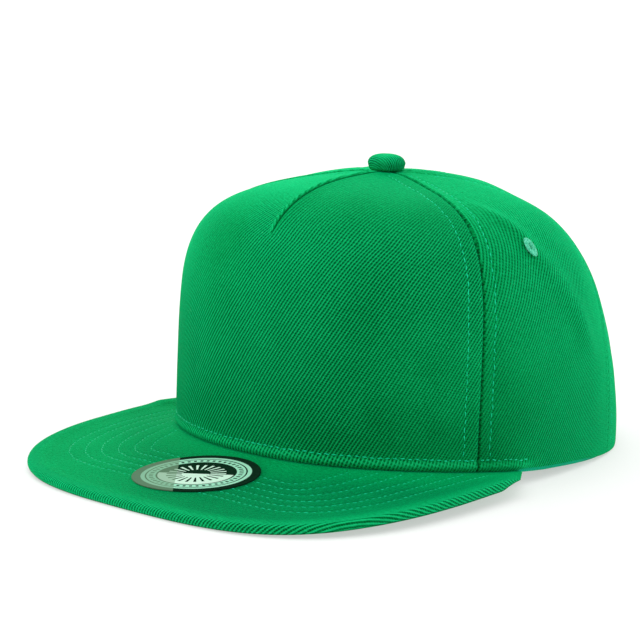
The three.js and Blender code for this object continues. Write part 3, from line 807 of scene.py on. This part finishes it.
def makeBill():
    columns = bill["columns"]
    under, nose = bill["underRows"], bill["underRows"] + bill["noseRows"]
    rows = nose + bill["topRows"]
    piece, s, t = gridPiece("bill_cover", columns, rows)
    column, row = stepOf(s, columns), stepOf(t, rows)
    bearings = np.linspace(*bill["rimEnds"], 1201)
    edge = evenPoints(billRim, columns)
    lip = evenPoints(billRoot(bearings, 0), columns)
    root = evenPoints(billRoot(bearings, crown["wall"]), columns)
    fromEnd = np.minimum(column, columns - column) / columns * lengthsAlong(billRim)[-1]
    taper = bill["cornerShare"] + (1 - bill["cornerShare"]) * smooth(fromEnd, 0, bill["cornerLength"])
    turned = (1 - (1 - (fromEnd / bill["endRound"]).clip(0, 1)) ** 2) ** 0.5
    half = bill["half"] * taper
    outward = unit((edge - lip) * [1, 1, 0])[column]
    turn = ((row - under) / bill["noseRows"]).clip(0, 1) * math.pi - math.pi / 2
    share = np.where(row < under, 1 - row / under, (row - nose) / bill["topRows"]).clip(0, 1)
    share = np.where((row >= under) & (row <= nose), 0, share)
    onRoot = (row == 0) | (row == rows)
    points = edge[column] + (lip[column] - edge[column]) * share[:, None]
    points[:, 2] = edge[column, 2] + (lip[column, 2] - edge[column, 2]) * share ** bill["rise"]
    points[onRoot] = root[column[onRoot]]
    flatPlan = points[:, :2].copy()
    points += outward * (half * turned * np.cos(turn))[:, None]
    away, clear = edgeDistance(points[:, :2]), rimClearance(points[:, :2])
    # the sewn rows, a soft puff inside the edge, and slow waves over the whole board
    inside = away + rowSpread(points)
    dip = sum(bell(inside, place, bill["grooveWidth"]) for place in billRows)
    dip = dip * bill["groove"] * smooth(clear, 0, 2)
    puff = 0.25 * bell(away, 3, 2.2) - 0.1
    sway = waves(points, 0.02, 0.35) + waves(points + 200, 0.06, 0.12)
    top = np.sin(turn)
    piping = bell(turn / degree, bill["pipingAt"], 8) * bill["pipingDepth"]
    points -= outward * (piping * turned)[:, None]
    points[:, 2] += bill["half"] - half + top * half * turned
    flat = smooth(fromEnd, 0, 12) * smooth(clear, -1, 4)
    points[:, 2] += np.where(onRoot, 0, (sway * 0.6 + top * (puff - dip)) * flat)
    points[:, 2] = np.maximum(points[:, 2], 0)
    # the cover's cloth is wrapped straight over the edge, so its ribs keep their direction round it
    writeUv(piece, flatPlan + outward[:, :2] * (half * (math.pi / 2 - turn))[:, None])
    writeValue(piece, "napAndSheen", 0.9 * smooth(away, 1.2, 4))
    # the flat of the bill is painted darker as shade towards the crown and the near side, its edge is
    # painted paler as a highlight, and the underside of its edge is painted dark as shade
    turnedBy = photo["bearing"] * degree
    nearSide = smooth(points[:, 0] * math.cos(turnedBy) + points[:, 1] * math.sin(turnedBy), -125, -70)
    paintedEdgeLight = 0.45 * (1 - smooth(away, 0, 4)) + 0.3 * bell(turn, -0.55, 0.18)
    darker = 0.35 + 0.95 * nearSide * smooth(clear, 0, 24)
    below = (1 - smooth(turn / degree, -50, -30)) * (1 - smooth(away, 1, 4))
    writeValue(piece, "paintedLightAndWear", paintedEdgeLight - darker * smooth(away, 1, 6) - 2.2 * below)
    setPoints(piece, toFrame(points))
    # the root underneath is joined to the root on top, then the pinched ends are merged
    activate(piece)
    bpy.ops.object.mode_set(mode="EDIT")
    bpy.ops.mesh.select_mode(type="VERT")
    bpy.ops.mesh.select_all(action="DESELECT")
    bpy.ops.object.mode_set(mode="OBJECT")
    piece.data.vertices.foreach_set("select", onRoot)
    bpy.ops.object.mode_set(mode="EDIT")
    bpy.ops.mesh.bridge_edge_loops()
    faceOutwards(piece, merge=0.02)
    return finishPiece(piece, billTwill, "cloth", "bill", angle=70)


billPiece = makeBill()
billSurface = surfaceOf(billPiece)
print("bill made")


# Sewing: one stitch, copied along rows that lie on the finished cloth

stitch = {"length": 2.8, "gap": 0.35, "radius": 0.2, "dive": 1.2, "hide": 0.035, "yaw": 6.0, "sway": 0.15,
          "sides": 8, "rings": 6}


def stitchTemplate():
    deselectAll()
    bpy.ops.mesh.primitive_uv_sphere_add(segments=stitch["sides"], ring_count=stitch["rings"], radius=1)
    piece = startPiece("stitch")
    shape = getPoints(piece)
    faces = [tuple(polygon.vertices) for polygon in piece.data.polygons]
    bpy.data.objects.remove(piece)
    # the sphere's axis lies along the stitch, blunt at both ends
    along = signedPower(shape[:, 2], 0.7)
    fat = (1 - np.abs(along) ** 4) ** 0.5
    ring = unit(shape[:, :2] + 1e-9)
    return np.stack([along, ring[:, 0] * fat, ring[:, 1] * fat], -1), faces


template, templateFaces = stitchTemplate()
random = np.random.default_rng(11)


def sew(name, rows, material, length=stitch["length"], gap=stitch["gap"], radius=stitch["radius"]):
    points, faces = [], []
    for surface, line in rows:
        steps = lengthsAlong(line)
        for index in range(int((steps[-1] / mm) // (length + gap))):
            middle = (index + 0.5) * (length + gap) * mm
            ends = [middle - 0.4 * length * mm, middle, middle + 0.4 * length * mm]
            places = [Vector([np.interp(end, steps, line[:, axis]) for axis in range(3)]) for end in ends]
            hits = [surface.find_nearest(place) for place in places]
            normal = np.array(hits[1][1])
            heading = np.array(hits[2][0] - hits[0][0])
            heading = unit(heading - normal * (heading @ normal))
            yaw = random.normal(0, stitch["yaw"]) * degree
            heading = heading * math.cos(yaw) + np.cross(normal, heading) * math.sin(yaw)
            half = length / 2 * random.uniform(0.85, 1.08)
            thick = radius * random.uniform(0.85, 1.1)
            shape = template * [half, thick, thick]
            dive = template[:, 0] ** 2 * radius * stitch["dive"]  # its ends dive into the cloth
            shape[:, 2] -= dive + abs(random.normal(0, stitch["hide"]))
            shape[:, 1] += random.normal(0, stitch["sway"])
            axes = np.stack([heading, np.cross(normal, heading), normal])
            start = len(points) * len(template)
            points.append(np.array(hits[1][0]) + shape @ axes * mm)
            faces += [tuple(corner + start for corner in face) for face in templateFaces]
    mesh = bpy.data.meshes.new(name)
    mesh.from_pydata(np.concatenate(points).tolist(), [], faces)
    piece = bpy.data.objects.new(name, mesh)
    bpy.context.scene.collection.objects.link(piece)
    return finishPiece(piece, material, "thread")


def seamLine(bearing, aside, start, stopRadius, count=60):
    sweeps, lengths = meridian(bearing)[:2]
    points = crownPoint(np.full(len(sweeps), float(bearing)), sweeps)
    last = lengths[axisRadius(points) >= stopRadius][-1]
    sweep = np.interp(np.linspace(start, last, count), lengths, sweeps)
    speed = crownAxes(np.full(count, float(bearing)), sweep)[3]
    return toFrame(crownPoint(bearing + aside / speed, sweep))


front, sideLeft, sideRight, backLeft, backRight = [surfaceOf(panel) for panel in panels]
seamRows = []
for side, sideCloth, backCloth in ((1, sideLeft, backLeft), (-1, sideRight, backRight)):
    frontSeam, backSeam = side * crown["frontSeam"], side * crown["backSeam"]
    seamRows += [
        (front, seamLine(frontSeam, -side * sewing["rowFront"], 5.5, 11)),
        (sideCloth, seamLine(frontSeam, side * sewing["rowSide"], 5.5, 14)),
        (sideCloth, seamLine(backSeam, -side * sewing["rowSide"], 66, 14)),
        (backCloth, seamLine(backSeam, side * sewing["rowBack"], 5.5, 14)),
        (backCloth, seamLine(side * 180, -side * sewing["rowBack"], 54, 12)),
    ]
sew("seam_stitches", seamRows, seamThread)


def hemLine(low, high):
    bearings = np.linspace(low, high, int(abs(high - low)) + 2)
    alongs = np.full(len(bearings), sewing["hemRow"])
    return toFrame(crownPoint(bearings, sweepAt(bearings, alongs)))


def archLine(side):
    # down one side of the arch, a little outside its edge
    radius = arch["halfWidth"] + arch["row"]
    turns = np.linspace(88, 0, 40) * degree
    x = np.concatenate([radius * np.cos(turns), np.full(6, radius)])
    z = np.concatenate([arch["straight"] + radius * np.sin(turns), np.linspace(arch["straight"], 6, 6)])
    cloth = (backLeft, backRight)[side < 0]
    hits = [cloth.ray_cast(Vector(toFrame([across, 200, height])), Vector((0, -1, 0)))[0]
            for across, height in zip(x * side, z)]
    return cloth, np.array([hit for hit in hits if hit is not None])


seam = crown["frontSeam"]
hemRows = [
    (front, hemLine(-seam + 0.5, seam - 0.5)),
    (sideLeft, hemLine(seam + 0.5, sewing["hemEnd"])),
    (sideRight, hemLine(-seam - 0.5, -sewing["hemEnd"])),
    archLine(1),
    archLine(-1),
]
sew("hem_stitches", hemRows, seamThread, length=2.6, radius=0.27)


def billLine(away, top):
    heading = unit(np.gradient(billRim[:, :2], axis=0))
    inward = np.stack([-heading[:, 1], heading[:, 0]], -1)
    plan = billRim[:, :2] + inward * away
    for settling in range(6):
        plan = billRim[:, :2] + inward * (away - rowSpread(plan))[:, None]
    keep = (edgeDistance(plan) + rowSpread(plan) > away - 0.05) & (rimClearance(plan) > 0.8)
    side = 1 if top else -1
    hits = [billSurface.ray_cast(Vector(toFrame([*spot, 60 * side])), Vector((0, 0, -side)))[0]
            for spot in plan[keep]]
    return billSurface, np.array(hits)


billStitches = [billLine(away, top) for top in (True, False) for away in billRows]
sew("bill_stitches", billStitches, billThread, length=2.4, gap=0.4, radius=0.2)
print("stitches sewn")


# Covered button: a drum with a rounded shoulder, its shank through the crown and a disc inside

button = {
    "radius": 7.8, "base": 0.0, "height": 6.8, "belly": 2.9, "shank": 1.7, "disc": 4.9,
    "discTop": -3.2, "discLow": -4.0, "squareness": 0.72, "aside": (-0.75, -0.5),
    "tucks": 9, "tuckDepth": 0.12,
}


def buttonOutline(tilt):
    # radius and height by degrees up from its widest line: underside, shank and disc below it, dome above
    disc, low, shank = button["disc"], button["discLow"], button["shank"]
    lower = np.array([
        [-90, 0.05, low], [-80, disc - 0.4, low], [-72, disc, -3.6], [-64, disc - 0.4, button["discTop"]],
        [-56, shank, button["discTop"]], [-34, shank, button["base"]],
        [-22, 6.4, button["base"]], [-12, 7.3, 0.9], [0, button["radius"], button["belly"]],
    ])
    dome = np.radians(tilt.clip(0, 90))
    radius = button["radius"] * np.cos(dome) ** button["squareness"]
    height = button["belly"] + (button["height"] - button["belly"]) * np.sin(dome)
    return (np.where(tilt > 0, radius, np.interp(tilt, lower[:, 0], lower[:, 1])),
            np.where(tilt > 0, height, np.interp(tilt, lower[:, 0], lower[:, 2])))


def makeButton():
    deselectAll()
    bpy.ops.mesh.primitive_uv_sphere_add(segments=96, ring_count=64, radius=1)
    piece = startPiece("button_cover")
    shape = getPoints(piece)
    tilt = np.arcsin(shape[:, 2].clip(-1, 1)) / degree
    radius, height = buttonOutline(tilt)
    around = unit(shape[:, :2] + [1e-9, 0])
    tucks = np.cos(button["tucks"] * np.arctan2(around[:, 1], around[:, 0]))
    pinch = button["tuckDepth"] * tucks * smooth(-tilt, -30, 5) * (tilt > -25)
    points = np.concatenate([around * (radius + pinch)[:, None], height[:, None]], -1)
    # the cloth is gathered straight down from the middle of the top
    levels = np.linspace(90, -90, 361)
    walked = lengthsAlong(np.stack(buttonOutline(levels), -1))
    writeUv(piece, around * np.interp(-tilt, -levels, walked)[:, None])
    # the top is napped smooth, and the cover is painted paler, most round its sides: painted light
    writeValue(piece, "napAndSheen", 0.7 * smooth(tilt, 30, 60))
    writeValue(piece, "paintedLightAndWear", 1.35 - 0.85 * smooth(tilt, 15, 60))
    across, forward = button["aside"]
    setPoints(piece, toFrame(points + [across, crown["axisY"] + forward, crown["height"]]))
    return finishPiece(piece, buttonTwill, "cloth", "top_button", angle=50)


makeButton()


# Sewn eyelets: a bored ring of thread through the wall, its surface in radial wraps

eyelet = {
    "bore": 1.35, "sleeve": 2.15, "outer": 4.4, "inner": 3.55, "over": 0.3, "rise": 0.8, "innerOver": 0.8,
    "wraps": 40, "wrapDepth": 0.14, "squeeze": 0.64, "lean": 115, "ringSteps": 44,
}


def makeEyelet(name):
    bearing, along = eyeletPlaces[name]
    over, rise, under = eyelet["over"], eyelet["rise"], -crown["wall"] - eyelet["innerOver"]
    bore, sleeve, outer, inner = (eyelet[key] for key in ("bore", "sleeve", "outer", "inner"))
    outline = np.array([
        [bore, 0, under / 2], [bore, 0, over], [bore + 0.35, 0, over + rise * 0.75],
        [sleeve + 0.2, 0, over + rise], [outer - 0.9, 0, over + rise * 0.8],
        [outer - 0.2, 0, over + rise * 0.4], [outer, 0, over], [sleeve, 0, over - 0.02], [sleeve, 0, under],
        [inner, 0, under], [inner - 0.3, 0, under - rise * 0.6], [sleeve, 0, under - rise],
        [bore + 0.2, 0, under - rise * 0.5], [bore, 0, under / 2],
    ])
    deselectAll()
    ringSteps = eyelet["ringSteps"]
    bpy.ops.mesh.primitive_torus_add(major_segments=eyelet["wraps"] * 6, minor_segments=ringSteps,
                                     major_radius=2, minor_radius=1)
    piece = startPiece(name + "_thread")
    shape = getPoints(piece)
    turn = np.arctan2(shape[:, 1], shape[:, 0])
    tube = np.arctan2(shape[:, 2], np.hypot(shape[:, 0], shape[:, 1]) - 2)
    index = np.rint((math.pi - tube) / (2 * math.pi) * ringSteps).astype(int) % ringSteps
    radius, height = evenPoints(outline, ringSteps)[index][:, [0, 2]].T
    wrap = np.abs(np.cos(turn * eyelet["wraps"] / 2)) - 0.6
    outside = smooth(height, over - 0.3, over + 0.3) + smooth(-height, -under - 0.1, -under + 0.3)
    height = height + np.where(height > 0, 1, -1) * wrap * eyelet["wrapDepth"] * outside
    radius = radius + wrap * 0.12 * outside * smooth(radius, 3.2, 4.2)
    seat, onward, up, normal = clothPlace(bearing, along)
    side = np.sign(bearing)
    lean = eyelet["lean"] * degree  # the cloth's pull draws it into an oval
    longWay = math.cos(lean) * side * onward + math.sin(lean) * up
    shortWay = eyelet["squeeze"] * side * (math.cos(lean) * up - math.sin(lean) * side * onward)
    points = seat + radius[:, None] * (np.cos(turn)[:, None] * longWay + np.sin(turn)[:, None] * shortWay)
    setPoints(piece, toFrame(points + height[:, None] * normal))
    faceOutwards(piece)
    return finishPiece(piece, eyeletThread, "thread", name, angle=60)


for name in eyeletPlaces:
    makeEyelet(name)
print("button and eyelets made")


# Sweatband: a folded cloth band round the inside of the rim, its bound edge just below it

band = {
    "end": 149.0, "height": 32.0, "drop": 1.0, "thickness": 1.1, "inset": 2.0,
    "columns": 300, "rows": 30, "binding": 2.0,
}


def bandMaterial():
    material, tree, shader = newMaterial("sweatband_cloth", 0.85, sheen=0.1)
    cloth = clothMap(tree)
    u, v = splitOf(tree, cloth)
    fibre = noiseOf(tree, cloth, 1.4, 3, 0.6)
    rib = wave(tree, scaled(tree, u, 0.8, v), 0.9)
    tone = scaled(tree, rib, 0.3, calc(tree, "MULTIPLY", fibre, 0.7))
    body = screenRamp(tree, tone, ((0.2, (0, 88, 48)), (0.8, (6, 140, 86))))
    binding = screenRamp(tree, tone, ((0.2, (0, 156, 114)), (0.8, (10, 200, 152))))
    colour = choose(tree, calc(tree, "LESS_THAN", v, band["binding"]), body, binding)
    plug(tree, shader.inputs["Base Color"], colour)
    addBump(tree, shader, tone, 0.25 * mm)
    return material


def makeBand():
    columns, rows = band["columns"], band["rows"]
    piece, s, t = gridPiece("sweatband_cloth", columns, rows)
    column, row = stepOf(s, columns), stepOf(t, rows)
    bearings = np.linspace(-band["end"], band["end"], columns + 1)
    alongs = np.linspace(0, band["height"], rows + 1)
    sweep = np.zeros((columns + 1, rows + 1))
    for index, bearing in enumerate(bearings):
        sweeps, lengths = meridian(bearing)[:2]
        sweep[index] = np.interp(alongs, lengths, sweeps)
    bearing, along, sweep = bearings[column], alongs[row], sweep[column, row]
    onDome = crownPoint(bearing, sweep)
    normal = crownAxes(bearing, sweep)[2]
    points = onDome - normal * band["inset"]
    points[row == 0, 2] = np.maximum(0, onDome[row == 0, 2] - band["drop"])
    ripple = waves(points, 0.05, 0.25) * smooth(along, 3, 14)
    points = points - normal * np.abs(ripple)[:, None]
    arc = lengthsAlong(rimPlan(bearings))
    writeUv(piece, np.stack([arc[column], along], -1))
    setPoints(piece, toFrame(points))
    applyModifier(piece, "SOLIDIFY", thickness=band["thickness"] * mm, offset=-1, use_even_offset=False)
    finishPiece(piece, bandMaterial(), "cloth", "sweatband", angle=60)


makeBand()


# Snap straps: two plastic tabs that lie on each other behind, with studs that stand through the holes

strap = {
    "low": 2.5, "high": 20.5, "thickness": 1.4, "gap": 0.5, "tab": 47.0, "pitch": 9.0,
    "holeEnd": 12.0, "studEnd": -25.0, "firstStud": -20.0, "studs": 6, "holes": 5,
    "studRadius": 2.0, "studStand": 0.7, "holeRadius": 2.5, "bevel": 0.35,
    "cutsLong": 90, "cutsTall": 14, "bendLong": 80, "bendTall": 12,
}


def plasticMaterial():
    material, tree, shader = newMaterial("strap_plastic", 0.42, specular=0.5)
    place = objectPlace(tree)
    speck, cloud = noiseOf(tree, place, 500, 3, 0.6), noiseOf(tree, place, 40, 2)
    tone = scaled(tree, speck, 0.3, calc(tree, "MULTIPLY", cloud, 0.7))
    colour = screenRamp(tree, tone, ((0.3, (0, 118, 66)), (0.7, (4, 138, 80))))
    plug(tree, shader.inputs["Base Color"], colour)
    addBump(tree, shader, speck, 0.05 * mm)
    return material


strapPlastic = plasticMaterial()
walkBearings = np.arange(180, 100, -0.25)
walkLengths = lengthsAlong(rimPlan(walkBearings))


def bearingBehind(distance):
    bearing = np.interp(np.abs(distance), walkLengths, walkBearings)
    return np.where(distance < 0, 360 - bearing, bearing)


def bendOnto(flat):
    # flat: distance round from the back's middle, height up the wall, depth outwards
    long, tall = strap["bendLong"], strap["bendTall"]
    distances = np.linspace(flat[:, 0].min(), flat[:, 0].max(), long)
    heights = np.linspace(flat[:, 1].min(), flat[:, 1].max(), tall)
    bearings = np.repeat(bearingBehind(distances), tall)
    sweep = sweepAt(bearings, np.tile(heights, long))
    base = crownPoint(bearings, sweep).reshape(long, tall, 3)
    normals = crownAxes(bearings, sweep)[2].reshape(long, tall, 3)
    x = (flat[:, 0] - distances[0]) / (distances[1] - distances[0])
    y = (flat[:, 1] - heights[0]) / (heights[1] - heights[0])
    i, j = x.astype(int).clip(0, long - 2), y.astype(int).clip(0, tall - 2)
    x, y = (x - i)[:, None], (y - j)[:, None]

    def between(table):
        low = table[i, j] * (1 - x) + table[i + 1, j] * x
        high = table[i, j + 1] * (1 - x) + table[i + 1, j + 1] * x
        return low * (1 - y) + high * y

    return between(base) + between(normals) * flat[:, 2:]


def makeStrap(name, low, high, tip, outer):
    # tip: +1 where the round end is at the greater distance, -1 at the lesser
    piece, s, t = gridPiece(name + "_tab", strap["cutsLong"], strap["cutsTall"])
    tall = strap["high"] - strap["low"]
    height = strap["low"] + tall * t
    offset = np.abs(height - (strap["low"] + strap["high"]) / 2).clip(0, tall / 2)
    back = (tall / 2 - np.sqrt(np.maximum(0, (tall / 2) ** 2 - offset**2))) * 0.7
    toTip = s if tip > 0 else 1 - s
    distance = low + (high - low) * s - tip * back * toTip**3
    setPoints(piece, np.stack([distance, height, np.full(len(s), outer)], -1))
    applyModifier(piece, "SOLIDIFY", thickness=strap["thickness"], offset=-1)
    applyModifier(piece, "BEVEL", width=strap["bevel"], segments=2, limit_method="ANGLE",
                  angle_limit=50 * degree)
    return piece


def addPegs(count, firstPlace, radius, low, high):
    pegs = []
    for peg in range(count):
        deselectAll()
        place = (firstPlace + peg * strap["pitch"], (strap["low"] + strap["high"]) / 2, (low + high) / 2)
        bpy.ops.mesh.primitive_cylinder_add(vertices=40, radius=radius, depth=high - low, location=place)
        pegs.append(bpy.context.object)
    return pegs


def bendStrap(piece, node):
    setPoints(piece, toFrame(bendOnto(getPoints(piece))))
    faceOutwards(piece, merge=0.001)
    return finishPiece(piece, strapPlastic, "strap_plastic", node, angle=35)


holeFace = -crown["wall"] - strap["gap"]
studFace = holeFace - strap["thickness"] - crown["seamGap"]
studTab = makeStrap("strap_left", strap["studEnd"], strap["tab"], -1, studFace)
studs = addPegs(strap["studs"], strap["firstStud"], strap["studRadius"],
                studFace - strap["thickness"] / 2, holeFace + strap["studStand"])
for stud in studs:
    activate(stud)
    bpy.ops.object.mode_set(mode="EDIT")
    bpy.ops.mesh.bevel(offset=0.3, segments=3, affect="EDGES")
activate(studTab)
for stud in studs:
    stud.select_set(True)
bpy.ops.object.join()
bendStrap(studTab, "strap_left")
holeTab = makeStrap("strap_right", -strap["tab"], strap["holeEnd"], 1, holeFace)
holes = addPegs(strap["holes"], strap["firstStud"] - strap["pitch"], strap["holeRadius"],
                holeFace - strap["thickness"] * 1.5, holeFace + 1)
for hole in holes:
    applyModifier(holeTab, "BOOLEAN", object=hole, operation="DIFFERENCE", solver="EXACT")
    bpy.data.objects.remove(hole)
bendStrap(holeTab, "strap_right")
print("sweatband and straps made")


# Round foil sticker on the bill's top

sticker = {
    "radius": 24.6, "x": 0.2, "y": -122.5, "squeeze": 0.82, "lift": 0.25, "thickness": 0.3, "cuts": 60,
    "bands": (14.8, 15.5, 19.0, 19.6, 21.2), "rays": 44, "rayHalf": 0.8,
    "fan": 22, "fanStart": 5.5, "fanEnd": 11.5, "slope": 0.25, "glareX": -7.5, "glare": 0.62,
    "dark": (0, 30, 13), "pale": (150, 212, 182), "bright": (196, 228, 208), "paintedGlareGrey": (112, 148, 118),
}


def foilMaterial():
    # rings of short rays round a disc that is half dark and half pale, with a fan of rays on each half
    material, tree, shader = newMaterial("foil", 0.8, specular=0.0)
    place = objectPlace(tree)
    dark, pale = sticker["dark"], sticker["pale"]
    centre = toFrame([sticker["x"], sticker["y"], 0])
    moved = addNode(tree, "ShaderNodeMapping")
    moved.inputs["Location"].default_value = (-centre[0] / mm, -centre[1] / mm, 0)
    moved.inputs["Scale"].default_value = (1 / mm, 1 / mm, 0)
    plug(tree, moved.inputs["Vector"], place)
    turned = addNode(tree, "ShaderNodeVectorRotate", rotation_type="Z_AXIS")
    plug(tree, turned.inputs["Vector"], moved.outputs[0])
    turned.inputs["Angle"].default_value = -photo["bearing"] * degree
    rounded = addNode(tree, "ShaderNodeVectorMath", operation="MULTIPLY")
    plug(tree, rounded.inputs[0], turned.outputs[0])
    rounded.inputs[1].default_value = (1, 1 / sticker["squeeze"], 1)
    length = addNode(tree, "ShaderNodeVectorMath", operation="LENGTH")
    plug(tree, length.inputs[0], rounded.outputs[0])
    radius = length.outputs["Value"]
    x, y = splitOf(tree, rounded.outputs[0])
    turn = calc(tree, "ARCTAN2", y, x)
    upper = calc(tree, "GREATER_THAN", scaled(tree, x, sticker["slope"], y), 0.0)
    fan = calc(tree, "GREATER_THAN", wave(tree, turn, 2 * math.pi / sticker["fan"]), 0.72)
    fan = calc(tree, "MULTIPLY", fan, calc(tree, "GREATER_THAN", radius, sticker["fanStart"]))
    fan = calc(tree, "MULTIPLY", fan, calc(tree, "LESS_THAN", radius, sticker["fanEnd"]))
    flip = calc(tree, "ABSOLUTE", calc(tree, "SUBTRACT", upper, fan))
    colour = choose(tree, flip, sticker["bright"], dark)
    rays = calc(tree, "GREATER_THAN", wave(tree, turn, 2 * math.pi / sticker["rays"]), 0.6)
    middle = calc(tree, "COMPARE", radius, sum(sticker["bands"][1:3]) / 2, sticker["rayHalf"])
    ring = choose(tree, calc(tree, "MULTIPLY", rays, middle), pale, dark)
    for start, ink in zip(sticker["bands"], (dark, ring, dark, pale, dark)):
        colour = choose(tree, calc(tree, "GREATER_THAN", radius, start), colour, ink)
    # a painted glare: left of glareX the foil is painted grey to stand for light reflected off it
    glare = calc(tree, "MULTIPLY", calc(tree, "LESS_THAN", x, sticker["glareX"]), sticker["glare"])
    colour = choose(tree, glare, colour, sticker["paintedGlareGrey"])
    speck = noiseOf(tree, place, 900, 3)
    colour = choose(tree, calc(tree, "MULTIPLY", speck, 0.03), colour, pale)
    plug(tree, shader.inputs["Base Color"], colour)
    addBump(tree, shader, speck, 0.02 * mm)
    return material


def makeSticker():
    piece, s, t = gridPiece("sticker_foil", sticker["cuts"], sticker["cuts"])
    across, forward = s * 2 - 1, t * 2 - 1
    x = across * np.sqrt(1 - forward**2 / 2) * sticker["radius"]
    y = forward * np.sqrt(1 - across**2 / 2) * sticker["radius"] * sticker["squeeze"]
    turn = photo["bearing"] * degree
    plan = np.stack([
        sticker["x"] + x * math.cos(turn) - y * math.sin(turn),
        sticker["y"] + x * math.sin(turn) + y * math.cos(turn),
    ], -1)
    hits = np.array([
        billSurface.ray_cast(Vector(toFrame([*spot, 60])), Vector((0, 0, -1)))[0].z / mm for spot in plan])
    # the foil bridges the stitched grooves in one smooth bend
    u, v = (plan - [sticker["x"], sticker["y"]]).T
    terms = np.stack([np.ones(len(u)), u, v, u * u, u * v, v * v], -1)
    bend = terms @ np.linalg.lstsq(terms, hits, rcond=None)[0]
    bend += max(0, float((hits - bend).max()) - sticker["lift"])
    height = bend + sticker["lift"] + sticker["thickness"]
    setPoints(piece, toFrame(np.concatenate([plan, height[:, None]], -1)))
    applyModifier(piece, "SOLIDIFY", thickness=sticker["thickness"] * mm, offset=-1)
    finishPiece(piece, foilMaterial(), "foil", "bill_sticker", angle=40)


makeSticker()
print("sticker made")


# Floor, light and camera

light = {
    "sunAngle": 70, "sunStrength": 1.15, "sunTurn": 10, "sunLift": 60,
    "skyBack": 1.5, "skyFront": 0.56, "skyTurn": -140,
    "floorLow": (0.47, 0.47, 0.47), "floorHigh": (0.49, 0.49, 0.49), "floorGlow": 0.5,
}


def floorMaterial():
    material, tree, shader = newMaterial("floor", 0.9, specular=0.1)
    cloud = noiseOf(tree, objectPlace(tree), 0.7, 2)
    colour = rampOf(tree, cloud, ((0.2, light["floorLow"]), (0.8, light["floorHigh"])))
    plug(tree, shader.inputs["Base Color"], colour)
    shader.inputs["Emission Color"].default_value = (1, 1, 1, 1)
    shader.inputs["Emission Strength"].default_value = light["floorGlow"]
    return material


deselectAll()
bpy.ops.mesh.primitive_grid_add(x_subdivisions=8, y_subdivisions=8, size=24)
floor = startPiece("floor")
floor.data.materials.append(floorMaterial())

# a bright room that is brightest behind the cap and dimmer on the camera's side
world = bpy.data.worlds.new("studio")
bpy.context.scene.world = world
world.use_nodes = True
tree = world.node_tree
facing = addNode(tree, "ShaderNodeVectorMath", operation="DOT_PRODUCT")
plug(tree, facing.inputs[0], addNode(tree, "ShaderNodeTexCoord").outputs["Generated"])
facing.inputs[1].default_value = (
    math.sin(light["skyTurn"] * degree), -math.cos(light["skyTurn"] * degree), 0)
spread = addNode(tree, "ShaderNodeMapRange", interpolation_type="SMOOTHSTEP")
plug(tree, spread.inputs["Value"], facing.outputs["Value"])
spread.inputs["From Min"].default_value = -1
spread.inputs["To Min"].default_value = light["skyFront"]
spread.inputs["To Max"].default_value = light["skyBack"]
sky = tree.nodes["Background"]
sky.inputs["Color"].default_value = (1, 1, 1, 1)
plug(tree, sky.inputs["Strength"], spread.outputs["Result"])

deselectAll()
bpy.ops.object.light_add(type="SUN")
sun = bpy.context.object
sun.name = "studio_light"
sun.data.energy = light["sunStrength"]
sun.data.angle = light["sunAngle"] * degree
sun.rotation_euler = ((90 - light["sunLift"]) * degree, 0, light["sunTurn"] * degree)

around, lift, roll = (photo[key] * degree for key in ("bearing", "lift", "roll"))
backward = np.array([math.sin(around) * math.cos(lift), -math.cos(around) * math.cos(lift), math.sin(lift)])
right = np.array([math.cos(around), math.sin(around), 0])
up = np.cross(backward, right)
pose = np.eye(4)
pose[:3] = np.stack([
    right * math.cos(roll) + up * math.sin(roll),
    up * math.cos(roll) - right * math.sin(roll),
    backward,
    toFrame(np.array(photo["target"]) + photo["distance"] * backward),
], -1)
deselectAll()
bpy.ops.object.camera_add()
camera = bpy.context.object
camera.name = "photo_camera"
camera.matrix_world = Matrix(pose.tolist())
camera.data.lens = photo["lens"]
camera.data.sensor_width = 36
camera.data.clip_start = 0.01
bpy.context.scene.camera = camera
bpy.context.scene.view_settings.view_transform = "Standard"

print("stage set")
